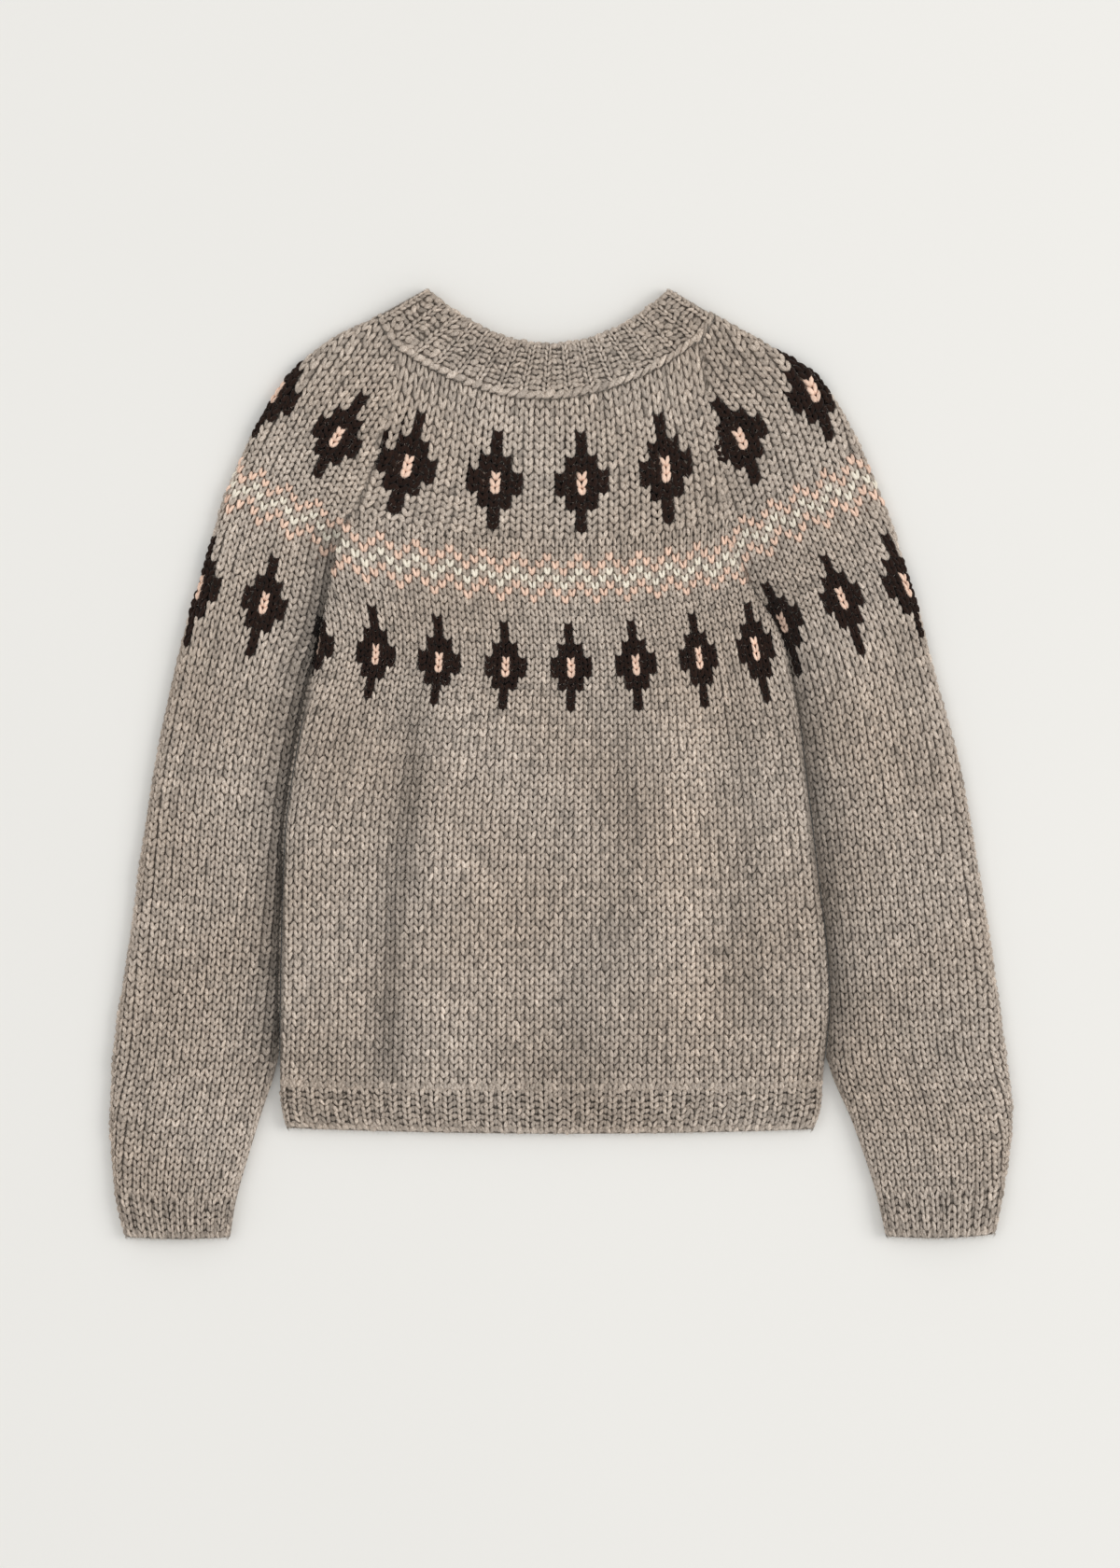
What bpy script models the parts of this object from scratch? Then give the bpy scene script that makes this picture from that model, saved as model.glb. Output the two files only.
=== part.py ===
"""A chunky wool jumper with a patterned yoke, laid flat and seen from above.

The jumper is knitted in panels: a front, a back and two raglan sleeves, with ribbed bands at the neck, the
hem and the cuffs. Each panel is a wall of knitted cloth as thick as the wool makes it. Its points lie on its
courses, which are its rows of knitting, so the tables below are read like a knitting schematic.

Sizes are in millimetres, from the middle of the hem, with x to the right, y to the neck and z up from the
surface that the jumper lies on. A mesh is made in metres, from the middle of the whole outline.
"""
import math
from collections import namedtuple

import bmesh
import bpy

MM = 0.001

# The cloth
WALL = 5.0  # two strands of chunky wool, one over the other
SEAM_GAP = 0.3  # between two panels that are sewn together
CREASE_GAP = 0.8  # between the body's side and the sleeve that lies beside it
FOLD_HEIGHT = 5.3  # of the side seams and of a fold, above the surface
FLAT_HEIGHT = 2 * FOLD_HEIGHT  # of two layers that lie on each other
RIB_DEPTH = 1.8  # how far a rib stands out of its band
RIM_COURSES = 1.5  # courses over which the ribs rise from a band's free rim
NECK_HEIGHT = 12.0  # of the neckband, whose ribs draw it thicker than the panels

# The whole outline, from cuff to cuff and from the cuffs' ends to the neck's peaks
OUTLINE_MIDDLE_X = 6.05
OUTLINE_MIDDLE_Y = 269.55

# The courses where one piece ends and the next begins
HEM_END = -8
HEM_SEAM = 0
UNDERARM = 52
CREASE_END = 74  # above it the front and the sleeve are one smooth surface
NECK_SEAM = 95
CUFF_END = -26
CUFF_SEAM = -20
NECK_END = 6  # the neckband's courses start at its seam

Course = namedtuple("Course", "name number x0 y0 x1 y1 x2 y2")

# The body: the left edge, the middle and the right edge of a course
BODY = [
    Course("hem", -8, -194.0, 3.5, -1.4, -0.7, 190.5, 2.5),
    Course("hem rib", -5, -197.5, 17.0, -1.4, 12.5, 195.5, 16.5),
    Course("hem seam", 0, -198.9, 38.8, -1.4, 36.0, 197.2, 38.1),
    Course("waist", 13, -198.3, 106.1, -0.7, 104.0, 199.0, 106.1),
    Course("ribs", 33, -195.0, 216.2, 0.0, 210.8, 190.6, 214.9),
    Course("bust", 42, -188.3, 267.5, 1.5, 258.5, 184.5, 265.5),
    Course("underarm", 52, -177.5, 326.4, 2.7, 311.4, 177.6, 320.5),
    Course("lower pattern", 59, -170.0, 362.5, 3.4, 345.0, 166.5, 365.0),
    Course("zigzag band", 72, -154.4, 432.5, -2.0, 411.0, 131.5, 423.6),
    Course("upper pattern", 84, -129.0, 494.5, -1.4, 474.0, 120.5, 498.5),
    Course("collar bone", 90, -119.5, 533.0, -1.4, 508.0, 114.0, 538.0),
    Course("neck seam", 95, -113.6, 573.2, -1.4, 535.8, 108.8, 580.0),
]

# The sleeves: the inner edge, the middle and the outer edge of a course, all on the top side
LEFT_SLEEVE = [
    Course("cuff", -26, -235.6, -76.2, -274.0, -77.3, -312.0, -76.2),
    Course("cuff seam", -20, -230.5, -46.9, -275.4, -46.9, -320.0, -42.2),
    Course("wrist", -10, -215.6, 4.8, -268.5, 6.1, -323.4, 10.2),
    Course("forearm", 0, -200.0, 57.8, -260.4, 59.2, -320.5, 63.2),
    Course("elbow", 17, -197.2, 144.2, -252.3, 147.6, -307.5, 153.0),
    Course("upper arm", 38, -193.1, 251.6, -243.4, 257.7, -295.0, 264.5),
    Course("underarm", 52, -177.5, 326.4, -229.5, 336.6, -279.0, 342.0),
    Course("lower pattern", 59, -170.0, 362.5, -217.5, 382.5, -267.0, 392.0),
    Course("zigzag band", 72, -154.4, 432.5, -198.5, 454.2, -241.0, 473.5),
    Course("upper pattern", 84, -129.0, 494.5, -167.8, 517.5, -206.0, 546.0),
    Course("shoulder", 90, -119.5, 533.0, -144.0, 553.0, -165.0, 578.0),
    Course("neck seam", 95, -113.6, 573.2, -121.7, 584.1, -127.2, 597.0),
]
RIGHT_SLEEVE = [
    Course("cuff", -26, 243.4, -75.5, 283.6, -76.6, 322.5, -74.1),
    Course("cuff seam", -20, 236.0, -42.8, 282.2, -42.2, 329.8, -36.7),
    Course("wrist", -10, 219.6, 6.1, 277.4, 8.2, 335.7, 11.6),
    Course("forearm", 0, 200.6, 55.1, 265.2, 57.8, 330.5, 61.2),
    Course("elbow", 17, 198.4, 142.8, 257.0, 144.8, 317.5, 149.6),
    Course("upper arm", 38, 188.0, 248.2, 243.4, 255.0, 298.6, 261.8),
    Course("underarm", 52, 177.6, 320.5, 229.5, 330.5, 281.0, 333.9),
    Course("lower pattern", 59, 166.5, 365.0, 212.8, 385.5, 265.2, 398.0),
    Course("zigzag band", 72, 131.5, 423.6, 184.0, 452.2, 235.5, 476.7),
    Course("upper pattern", 84, 120.5, 498.5, 159.5, 525.0, 195.2, 550.1),
    Course("shoulder", 90, 114.0, 538.0, 134.5, 559.0, 155.5, 580.0),
    Course("neck seam", 95, 108.8, 580.0, 114.2, 589.6, 118.6, 600.6),
]

# The neckband's free edge: its left peak, its middle and its right peak
NECK_EDGE = Course("neck edge", 6, -92.5, 616.4, -2.5, 575.2, 86.0, 616.2)

# A place on a course, with the direction of the course, its share of the way along and its angle on a fold
Spot = namedtuple("Spot", "x y across_x across_y share angle")

# Soft ridges in the front, where the cloth stands off the back: each runs from (x0, y0) to (x1, y1)
Ridge = namedtuple("Ridge", "name x0 y0 x1 y1 width height")
RIDGES = [
    Ridge("left side", -158, 70, -150, 300, 26, 2.2),
    Ridge("middle", -30, 60, -20, 250, 46, 3.4),
    Ridge("right", 98, 60, 104, 330, 24, 5.0),
    Ridge("right side", 168, 80, 160, 260, 14, 1.8),
    Ridge("yoke", -10, 400, -10, 500, 60, 2.0),
]

# How full a sleeve is, course by course
Fullness = namedtuple("Fullness", "number height")
SLEEVE_FULLNESS = [
    Fullness(-26, 3.0),
    Fullness(-20, 3.5),
    Fullness(-8, 6.5),
    Fullness(20, 7.5),
    Fullness(52, 7.0),
    Fullness(72, 4.5),
    Fullness(95, 1.0),
]

# Ribs that show on the top side of each band
HEM_RIBS = 40
CUFF_RIBS = 8
NECK_RIBS = 15

# How finely the panels are divided
ROLL_ANGLES = (0.0, 48.0)  # places round a fold, in degrees, before the flat starts
PANEL_COLUMNS = 17
SLEEVE_TOP_COLUMNS = 9
SLEEVE_UNDER_COLUMNS = 5
COLUMNS_A_RIB = 3
YOKE_ROWS = (55, 58, 61, 64, 67, 70, 74, 78, 82, 86, 90, 93, 95)
BODY_ROWS = (0, 4, 9, 14, 19, 24, 29, 34, 39, 44, 48, 52) + YOKE_ROWS
SLEEVE_ROWS = (-20, -16, -12, -8, -4, 0, 5, 10, 15, 20, 25, 30, 35, 40, 44, 48, 52) + YOKE_ROWS
HEM_ROWS = (-8, -6.5, -3.5, 0)
CUFF_ROWS = (-26, -24.8, -22.4, -20)
NECK_ROWS = (0, 2, 4, 5.4, 6)

Colour = namedtuple("Colour", "name red green blue")
YARNS = {
    "cloth": Colour("heather wool", 0.34, 0.29, 0.24),
    "rib": Colour("ribbed heather wool", 0.31, 0.26, 0.22),
}


def spline(table, column, number):
    """A column of a table at any course, on a smooth curve through its rows."""
    rows = [(row.number, getattr(row, column)) for row in table]
    last = len(rows) - 1
    here = min(max(sum(number >= at for at, _ in rows) - 1, 0), last - 1)
    (a, start), (b, end) = rows[here], rows[here + 1]

    def slope(index):
        low, high = rows[max(index - 1, 0)], rows[min(index + 1, last)]
        return (high[1] - low[1]) / (high[0] - low[0])

    step = b - a
    t = (number - a) / step
    return (
        (1 + 2 * t) * (1 - t) ** 2 * start
        + t * (1 - t) ** 2 * step * slope(here)
        + t * t * (3 - 2 * t) * end
        - t * t * (1 - t) * step * slope(here + 1)
    )


def smooth(value):
    """A soft step from 0 to 1."""
    value = min(max(value, 0.0), 1.0)
    return value * value * (3 - 2 * value)


def course_of(table, number):
    """The course at any number, from the rows of its table."""
    columns = ("x0", "y0", "x1", "y1", "x2", "y2")
    return Course("between", number, *(spline(table, column, number) for column in columns))


def along(course, share):
    """The point at a share of the way along a course, on the arc through its three points."""
    a = (1 - share) * (1 - 2 * share)
    b = 4 * share * (1 - share)
    c = share * (2 * share - 1)
    return (
        a * course.x0 + b * course.x1 + c * course.x2,
        a * course.y0 + b * course.y1 + c * course.y2,
    )


def length_of(course):
    """About how long a course is."""
    return math.dist((course.x0, course.y0), (course.x1, course.y1)) + math.dist(
        (course.x1, course.y1), (course.x2, course.y2)
    )


def side_of_body(edge_x, edge_y, y):
    """Where the body's side lies at a height y, found by halving the courses."""
    low, high = HEM_SEAM - 1.0, float(UNDERARM)
    for _ in range(30):
        middle = (low + high) / 2
        if spline(BODY, edge_y, middle) < y:
            low = middle
        else:
            high = middle
    return spline(BODY, edge_x, low)


def sleeve_course(side, number):
    """A sleeve's course, from the body's side or the raglan seam out to the fold. side is -1 or 1."""
    left = side < 0
    course = course_of(LEFT_SLEEVE if left else RIGHT_SLEEVE, number)
    edge_x, edge_y = ("x0", "y0") if left else ("x2", "y2")
    if number >= UNDERARM:
        return course._replace(x0=spline(BODY, edge_x, number), y0=spline(BODY, edge_y, number))
    if number >= 0:
        beside = side_of_body(edge_x, edge_y, course.y0)
        gap = CREASE_GAP * smooth((UNDERARM - number) / 6)
        return course._replace(x0=beside + side * gap)
    return course


def crease(number):
    """How far a side edge is folded down: 1 below the underarm, and 0 where the yoke runs on flat."""
    return 1 - smooth((number - UNDERARM) / (CREASE_END - UNDERARM))


def ridge_height(x, y):
    """How far the front's soft ridges lift it off the back."""
    total = 0.0
    for ridge in RIDGES:
        dx, dy = ridge.x1 - ridge.x0, ridge.y1 - ridge.y0
        share = ((x - ridge.x0) * dx + (y - ridge.y0) * dy) / (dx * dx + dy * dy)
        share = min(max(share, 0.0), 1.0)
        away = math.dist((x, y), (ridge.x0 + share * dx, ridge.y0 + share * dy))
        total += ridge.height * math.exp(-((away / ridge.width) ** 2))
    return total


def front_height(number, share, x, y):
    """The front's height, with its ridges held down at the raglan seams, at the neck and at the hem."""
    sides = smooth(min(share, 1 - share) / 0.14)
    ends = smooth((number + 6) / 14) * smooth((NECK_SEAM - number) / 12)
    return FLAT_HEIGHT + ridge_height(x, y) * sides * ends


def sleeve_height(number, share):
    """A sleeve's height, full in its middle and flat at both edges."""
    return FLAT_HEIGHT + spline(SLEEVE_FULLNESS, "height", number) * math.sin(math.pi * share)


def columns_across(length, columns):
    """The places across a panel, each a share of the way and the angle round the fold it lies on."""
    roll = [(FOLD_HEIGHT * (1 - math.cos(math.radians(a))) / length, a) for a in ROLL_ANGLES]
    start = FOLD_HEIGHT / length
    flat = [(start + (1 - 2 * start) * i / (columns - 1), 90.0) for i in range(columns)]
    return roll + flat + [(1 - share, angle) for share, angle in reversed(roll)]


def spot_at(before, here, after, share, angle, up=0.0):
    """A place on a course between its two neighbours, moved towards the neck by up."""
    step = math.dist(before, after)
    across_x, across_y = (after[0] - before[0]) / step, (after[1] - before[1]) / step
    side = up * math.copysign(1.0, across_x)
    return Spot(
        here[0] - side * across_y, here[1] + side * across_x, across_x, across_y, share, angle
    )


def spot_on(course, share, angle, up=0.0):
    """A place on a course."""
    before, after = along(course, share - 0.01), along(course, share + 0.01)
    return spot_at(before, along(course, share), after, share, angle, up)


def wall_points(spot, fold, height, top, gap, lift=0.0):
    """The outer and inner points of the wall at one place on a course.

    fold is how far the nearer edge is folded down, from 0 to 1. A folded edge turns from the flat to upright
    round a quarter of a circle, and ends halfway up. gap is what it keeps there from the piece it is sewn to,
    and lift is how far a rib raises the outer point.
    """
    inward = 1 if spot.share < 0.5 else -1
    steepness = fold * (1 - math.sin(math.radians(spot.angle)))
    down = 1 - steepness
    sideways = inward * math.sqrt(1 - down * down)
    layer = 1 if top else -1
    x, y = spot.x, spot.y
    z = height - steepness * (height - FOLD_HEIGHT)
    if spot.angle == 0.0:
        x += gap * inward * spot.across_x
        y += gap * inward * spot.across_y
        z += layer * gap * fold
    inner = (
        x + WALL * sideways * spot.across_x,
        y + WALL * sideways * spot.across_y,
        z - layer * WALL * down,
    )
    return (x, y, z + lift), inner


def rib_lift(spot, ribs, from_rim):
    """How far the ribs stand out, lower at the band's free rim. There are none on a fold."""
    if not ribs or spot.angle < 90.0:
        return 0.0
    wave = 0.5 - 0.5 * math.cos(2 * math.pi * spot.share * ribs)
    return RIB_DEPTH * wave * (0.4 + 0.6 * smooth(from_rim / RIM_COURSES))


def seam_gap_at(number, seams):
    """How far a panel's first or last course is drawn back from the seam there."""
    first, last = seams
    return SEAM_GAP / 2 * ((number == first) - (number == last))


def panel_rows(numbers, seams, top, columns, ribs=0):
    """The rows of the front, the back or one of their hem bands."""
    rows = []
    for number in numbers:
        course = course_of(BODY, number)
        up = seam_gap_at(number, seams)
        row = []
        for share, angle in columns_across(length_of(course), columns):
            spot = spot_on(course, share, angle, up)
            height = front_height(number, share, spot.x, spot.y) if top else 0.0
            lift = rib_lift(spot, ribs, number - HEM_END)
            row.append(wall_points(spot, crease(number), height, top, SEAM_GAP / 2, lift))
        rows.append(row)
    return rows


def ring_rows(side, numbers, seams, columns, ribs=0):
    """The rows of a sleeve or a cuff: over the top to the outer fold, and back underneath."""
    rows = []
    for number in numbers:
        course = sleeve_course(side, number)
        up = seam_gap_at(number, seams)
        over = columns_across(length_of(course), columns)
        under = columns_across(length_of(course), SLEEVE_UNDER_COLUMNS)[-2::-1]
        row = []
        for places, top in ((over, True), (under, False)):
            for share, angle in places:
                spot = spot_on(course, share, angle, up)
                sewn = share < 0.5
                fold, gap = (crease(number), SEAM_GAP / 2) if sewn else (1.0, 0.0)
                height = sleeve_height(number, share) if top else 0.0
                lift = rib_lift(spot, ribs if top else 0, number - CUFF_END)
                row.append(wall_points(spot, fold, height, top, gap, lift))
        rows.append(row)
    return rows


def neck_seam_point(share):
    """A point on the neck's seam, over the left sleeve's end, the front's and the right sleeve's."""
    left, front, right = (
        sleeve_course(-1, NECK_SEAM),
        course_of(BODY, NECK_SEAM),
        sleeve_course(1, NECK_SEAM),
    )
    lengths = [length_of(course) for course in (left, front, right)]
    place = share * sum(lengths)
    if place <= lengths[0]:
        return along(left, 1 - place / lengths[0])
    if place <= lengths[0] + lengths[1]:
        return along(front, (place - lengths[0]) / lengths[1])
    return along(right, (place - lengths[0] - lengths[1]) / lengths[2])


def neck_point(number, share):
    """A point of the neckband, between its seam and its free edge."""
    share = min(max(share, 0.0), 1.0)
    seam_x, seam_y = neck_seam_point(share)
    edge_x, edge_y = along(NECK_EDGE, share)
    part = number / NECK_END
    return seam_x + (edge_x - seam_x) * part, seam_y + (edge_y - seam_y) * part


def neck_rows():
    """The rows of the neckband, a ring that lies flat and is folded at both peaks of the neck."""
    rows = []
    for number in NECK_ROWS:
        edge = [neck_point(number, i / NECK_RIBS) for i in range(NECK_RIBS + 1)]
        length = sum(math.dist(a, b) for a, b in zip(edge, edge[1:]))
        up = SEAM_GAP if number == 0 else 0.0
        over = columns_across(length, NECK_RIBS * COLUMNS_A_RIB + 1)
        under = columns_across(length, PANEL_COLUMNS)[-2:0:-1]
        row = []
        for places, top in ((over, True), (under, False)):
            for share, angle in places:
                near = (neck_point(number, share + step) for step in (-0.01, 0.0, 0.01))
                spot = spot_at(*near, share, angle, up)
                lift = rib_lift(spot, NECK_RIBS if top else 0, NECK_END - number)
                height = NECK_HEIGHT if top else 0.0
                row.append(wall_points(spot, 1.0, height, top, 0.0, lift))
        rows.append(row + row[:1])
    return rows


def material(yarn):
    """The matt wool of a panel."""
    made = bpy.data.materials.new(yarn.name)
    made.use_nodes = True
    shader = made.node_tree.nodes["Principled BSDF"]
    shader.inputs["Base Color"].default_value = (yarn.red, yarn.green, yarn.blue, 1)
    shader.inputs["Roughness"].default_value = 0.95
    shader.inputs["Metallic"].default_value = 0.0
    return made


def place(point):
    """A point in metres, from the middle of the whole outline."""
    x, y, z = point
    return (x - OUTLINE_MIDDLE_X) * MM, (y - OUTLINE_MIDDLE_Y) * MM, z * MM


def knit(name, rows, yarn):
    """A closed wall from rows of outer and inner points: a grid on its outer side, extruded to its inner."""
    mesh = bpy.data.meshes.new(name)
    bm = bmesh.new()
    row_layer = bm.verts.layers.int.new("row")
    column_layer = bm.verts.layers.int.new("column")
    across, up = len(rows[0]) - 1, len(rows) - 1
    bmesh.ops.create_grid(bm, x_segments=across, y_segments=up, size=1)
    for vert in bm.verts:
        row, column = round((vert.co.y + 1) / 2 * up), round((vert.co.x + 1) / 2 * across)
        vert[row_layer], vert[column_layer] = row, column
        vert.co = place(rows[row][column][0])
    bmesh.ops.remove_doubles(bm, verts=bm.verts, dist=0.00001)
    made = bmesh.ops.extrude_face_region(bm, geom=bm.faces[:], use_keep_orig=True)
    for vert in made["geom"]:
        if isinstance(vert, bmesh.types.BMVert):
            vert.co = place(rows[vert[row_layer]][vert[column_layer]][1])
    bmesh.ops.recalc_face_normals(bm, faces=bm.faces)
    bm.verts.layers.int.remove(row_layer)
    bm.verts.layers.int.remove(bm.verts.layers.int["column"])
    bm.to_mesh(mesh)
    bm.free()
    mesh.shade_smooth()
    mesh.set_sharp_from_angle(angle=math.radians(50))
    piece = bpy.data.objects.new(name, mesh)
    piece.data.materials.append(material(yarn))
    bpy.context.scene.collection.objects.link(piece)
    return piece


def main():
    for old in list(bpy.data.objects):
        bpy.data.objects.remove(old)
    cloth, rib = YARNS["cloth"], YARNS["rib"]
    body, hem = (HEM_SEAM, NECK_SEAM), (None, HEM_SEAM)
    sleeve, cuff = (CUFF_SEAM, NECK_SEAM), (None, CUFF_SEAM)
    hem_columns = HEM_RIBS * COLUMNS_A_RIB + 1
    cuff_columns = CUFF_RIBS * COLUMNS_A_RIB + 1
    knit("front", panel_rows(BODY_ROWS, body, True, PANEL_COLUMNS), cloth)
    knit("back", panel_rows(BODY_ROWS, body, False, PANEL_COLUMNS), cloth)
    knit("hem_rib_front", panel_rows(HEM_ROWS, hem, True, hem_columns, HEM_RIBS), rib)
    knit("hem_rib_back", panel_rows(HEM_ROWS, hem, False, PANEL_COLUMNS), rib)
    for name, side in (("left", -1), ("right", 1)):
        knit(f"sleeve_{name}", ring_rows(side, SLEEVE_ROWS, sleeve, SLEEVE_TOP_COLUMNS), cloth)
        knit(f"cuff_{name}", ring_rows(side, CUFF_ROWS, cuff, cuff_columns, CUFF_RIBS), rib)
    knit("neckband", neck_rows(), rib)


main()
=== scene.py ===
"""A chunky wool jumper with a patterned yoke, laid flat, dressed stitch by stitch.

Each panel is a thin closed cloth on its solid's form, and the knitting on it is real: every stitch is two
plump strands of wool that lean on the next ones. The yoke's colours come from two small charts. The places of
the panels' courses, which are their rows of knitting, are in millimetres, within 7 mm of the part's own.
"""
import math
from collections import namedtuple

import bmesh
import bpy
import numpy as np
from bpy.props import FloatProperty, FloatVectorProperty, IntProperty, PointerProperty
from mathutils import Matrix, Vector


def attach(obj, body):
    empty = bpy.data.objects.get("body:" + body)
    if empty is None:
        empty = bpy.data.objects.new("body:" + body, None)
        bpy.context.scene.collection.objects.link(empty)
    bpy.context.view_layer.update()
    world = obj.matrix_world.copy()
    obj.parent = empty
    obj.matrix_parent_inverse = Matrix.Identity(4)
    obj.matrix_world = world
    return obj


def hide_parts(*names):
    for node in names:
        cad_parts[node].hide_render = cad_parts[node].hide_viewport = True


bl_info = {
    "name": "Patterned yoke jumper",
    "version": (1, 0, 0),
    "blender": (4, 5, 0),
    "location": "3D View > Sidebar > Jumper",
    "description": "Knits a chunky jumper on its solid model, with a light and a camera",
    "category": "Object",
}

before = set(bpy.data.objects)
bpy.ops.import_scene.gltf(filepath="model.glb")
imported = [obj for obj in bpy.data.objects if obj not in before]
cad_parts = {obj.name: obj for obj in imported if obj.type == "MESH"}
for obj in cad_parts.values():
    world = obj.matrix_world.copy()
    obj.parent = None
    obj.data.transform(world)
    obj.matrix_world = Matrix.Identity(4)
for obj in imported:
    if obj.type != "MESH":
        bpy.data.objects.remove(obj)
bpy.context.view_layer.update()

MM = 0.001

# The cloth, as in the part's source
FOLD_HEIGHT = 5.3
FLAT_HEIGHT = 2 * FOLD_HEIGHT
NECK_HEIGHT = 12.0
CREASE_GAP = 0.8
FOLD_REACH = 0.57 * FOLD_HEIGHT  # how far past the outline the surface runs, round a folded edge
UNDER_FOLD = 0.75 * FOLD_HEIGHT  # how far past it the stitches go on
OUTLINE_MIDDLE = (6.05, 269.55)

# The cloth under the stitches
SINK = 2.3  # how far it lies under the part's outer face, to leave room for the stitches
INNER_WALL = 4.4
UNDER_WALL = 4.7

# The courses where one piece ends and the next begins
HEM_END = -8
HEM_SEAM = 0
UNDERARM = 52
CREASE_END = 74
DECREASE = 75.5  # the round where the stitches get fewer, above the zigzag band
NECK_SEAM = 95
CUFF_END = -26
CUFF_SEAM = -20
NECK_END = 6
EDGE_DROP = 2.0  # how far the free edges are rounded down
FREE_ROLL = 6.0  # how wide the rolled edge of a sleeve is where it lies free of the body

# Where the courses lie: both ends and the middle of each. A sleeve's run outwards from the body.
Course = namedtuple("Course", "name number x0 y0 x1 y1 x2 y2")
BODY = [
    Course("hem", -8, -194.0, 3.5, -1.4, -0.7, 190.5, 2.5),
    Course("hem rib", -5, -197.5, 17.0, -1.4, 12.5, 195.5, 16.5),
    Course("hem seam", 0, -198.9, 38.8, -1.4, 36.0, 197.2, 38.1),
    Course("waist", 13, -198.3, 106.1, -0.7, 104.0, 202.0, 106.1),
    Course("ribs", 33, -195.0, 216.2, 0.0, 210.8, 190.6, 214.9),
    Course("bust", 42, -188.3, 267.5, 1.5, 258.5, 184.5, 265.5),
    Course("underarm", 52, -177.5, 326.4, 2.7, 311.4, 177.6, 320.5),
    Course("lower pattern", 59, -170.0, 362.5, 3.4, 345.0, 166.5, 365.0),
    Course("zigzag band", 72, -154.4, 432.5, -2.0, 411.0, 131.5, 423.6),
    Course("upper pattern", 84, -129.0, 494.5, -1.4, 474.0, 120.5, 498.5),
    Course("collar bone", 90, -119.5, 533.0, -1.4, 508.0, 114.0, 538.0),
    Course("neck seam", 95, -113.6, 573.2, -1.4, 535.8, 108.8, 580.0),
]
LEFT_SLEEVE = [
    Course("cuff", -26, -235.6, -76.2, -274.0, -77.3, -312.0, -76.2),
    Course("cuff seam", -20, -230.5, -46.9, -275.4, -46.9, -320.0, -42.2),
    Course("wrist", -10, -215.6, 4.8, -268.5, 6.1, -323.4, 10.2),
    Course("forearm", 0, -200.0, 57.8, -260.4, 59.2, -320.5, 63.2),
    Course("elbow", 17, -197.2, 144.2, -252.3, 147.6, -307.5, 153.0),
    Course("upper arm", 38, -193.1, 251.6, -243.4, 257.7, -291.5, 264.5),
    Course("underarm", 52, -177.5, 326.4, -229.5, 336.6, -275.0, 343.0),
    Course("lower pattern", 59, -170.0, 362.5, -217.5, 382.5, -261.5, 392.0),
    Course("zigzag band", 72, -154.4, 432.5, -198.5, 454.2, -236.5, 472.5),
    Course("upper pattern", 84, -129.0, 494.5, -167.8, 517.5, -200.0, 545.0),
    Course("shoulder", 90, -119.5, 533.0, -144.0, 553.0, -165.0, 578.0),
    Course("neck seam", 95, -113.6, 573.2, -121.7, 584.1, -127.2, 597.0),
]
RIGHT_SLEEVE = [
    Course("cuff", -26, 243.4, -75.5, 283.6, -76.6, 322.5, -74.1),
    Course("cuff seam", -20, 236.0, -42.8, 282.2, -42.2, 329.8, -36.7),
    Course("wrist", -10, 219.6, 6.1, 277.4, 8.2, 335.7, 11.6),
    Course("forearm", 0, 200.6, 55.1, 265.2, 57.8, 330.5, 61.2),
    Course("elbow", 17, 198.4, 142.8, 257.0, 144.8, 317.5, 149.6),
    Course("upper arm", 38, 188.0, 248.2, 243.4, 255.0, 298.6, 261.8),
    Course("underarm", 52, 177.6, 320.5, 229.0, 335.5, 274.8, 350.0),
    Course("lower pattern", 59, 166.5, 365.0, 212.8, 384.0, 263.5, 393.5),
    Course("zigzag band", 72, 131.5, 423.6, 184.0, 452.2, 235.5, 476.7),
    Course("upper pattern", 84, 120.5, 498.5, 159.5, 525.0, 195.2, 550.1),
    Course("shoulder", 90, 114.0, 538.0, 134.5, 558.0, 155.0, 576.5),
    Course("neck seam", 95, 108.8, 580.0, 114.2, 588.6, 118.0, 597.0),
]
NECK_EDGE = Course("neck edge", 6, -92.5, 616.4, -2.5, 575.2, 86.0, 616.2)

# Broad swells in the front, each along a line
Ridge = namedtuple("Ridge", "name x0 y0 x1 y1 width height")
RIDGES = [
    Ridge("left side", -158, 70, -150, 300, 26, 2.2),
    Ridge("middle", -30, 60, -20, 250, 46, 3.4),
    Ridge("right", 98, 60, 104, 330, 24, 5.0),
    Ridge("right side", 168, 80, 160, 260, 14, 1.8),
    Ridge("yoke", -10, 400, -10, 500, 60, 2.0),
]

# Folds that fall down the front, with painted shade and light. Each stands up steeply at its left and dies
# away to the right, and goes through three places from its top to its foot. dark is how much painted shade
# darkens the wool on the steep side; below 0 it is painted light. Those without a height are only painted
# tone.
Fold = namedtuple("Fold", "name x0 y0 x1 y1 x2 y2 height steep reach dark")
FOLDS_WITH_PAINTED_LIGHT_AND_SHADE = [
    Fold("left", -92, 322, -112, 150, -120, 5, 5.2, 9, 36, 0.35),
    Fold("middle top", 56, 322, 60, 220, 57, 110, 3.0, 10, 30, 0.13),
    Fold("middle foot", 50, 160, 28, 90, 30, 5, 2.6, 16, 34, 0.15),
    Fold("right", 141, 335, 144, 250, 138, 60, 2.6, 12, 18, 0.12),
    Fold("light ridge", 106, 330, 101, 200, 106, 60, 0.0, 13, 20, -0.19),
    Fold("light middle", -48, 322, -46, 180, -50, 60, 0.0, 24, 20, -0.06),
    Fold("hem left", -130, 70, -130, 35, -130, -6, 0.0, 24, 20, 0.06),
    Fold("hem right", 34, 80, 36, 40, 38, -6, 0.0, 34, 20, 0.08),
]
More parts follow.
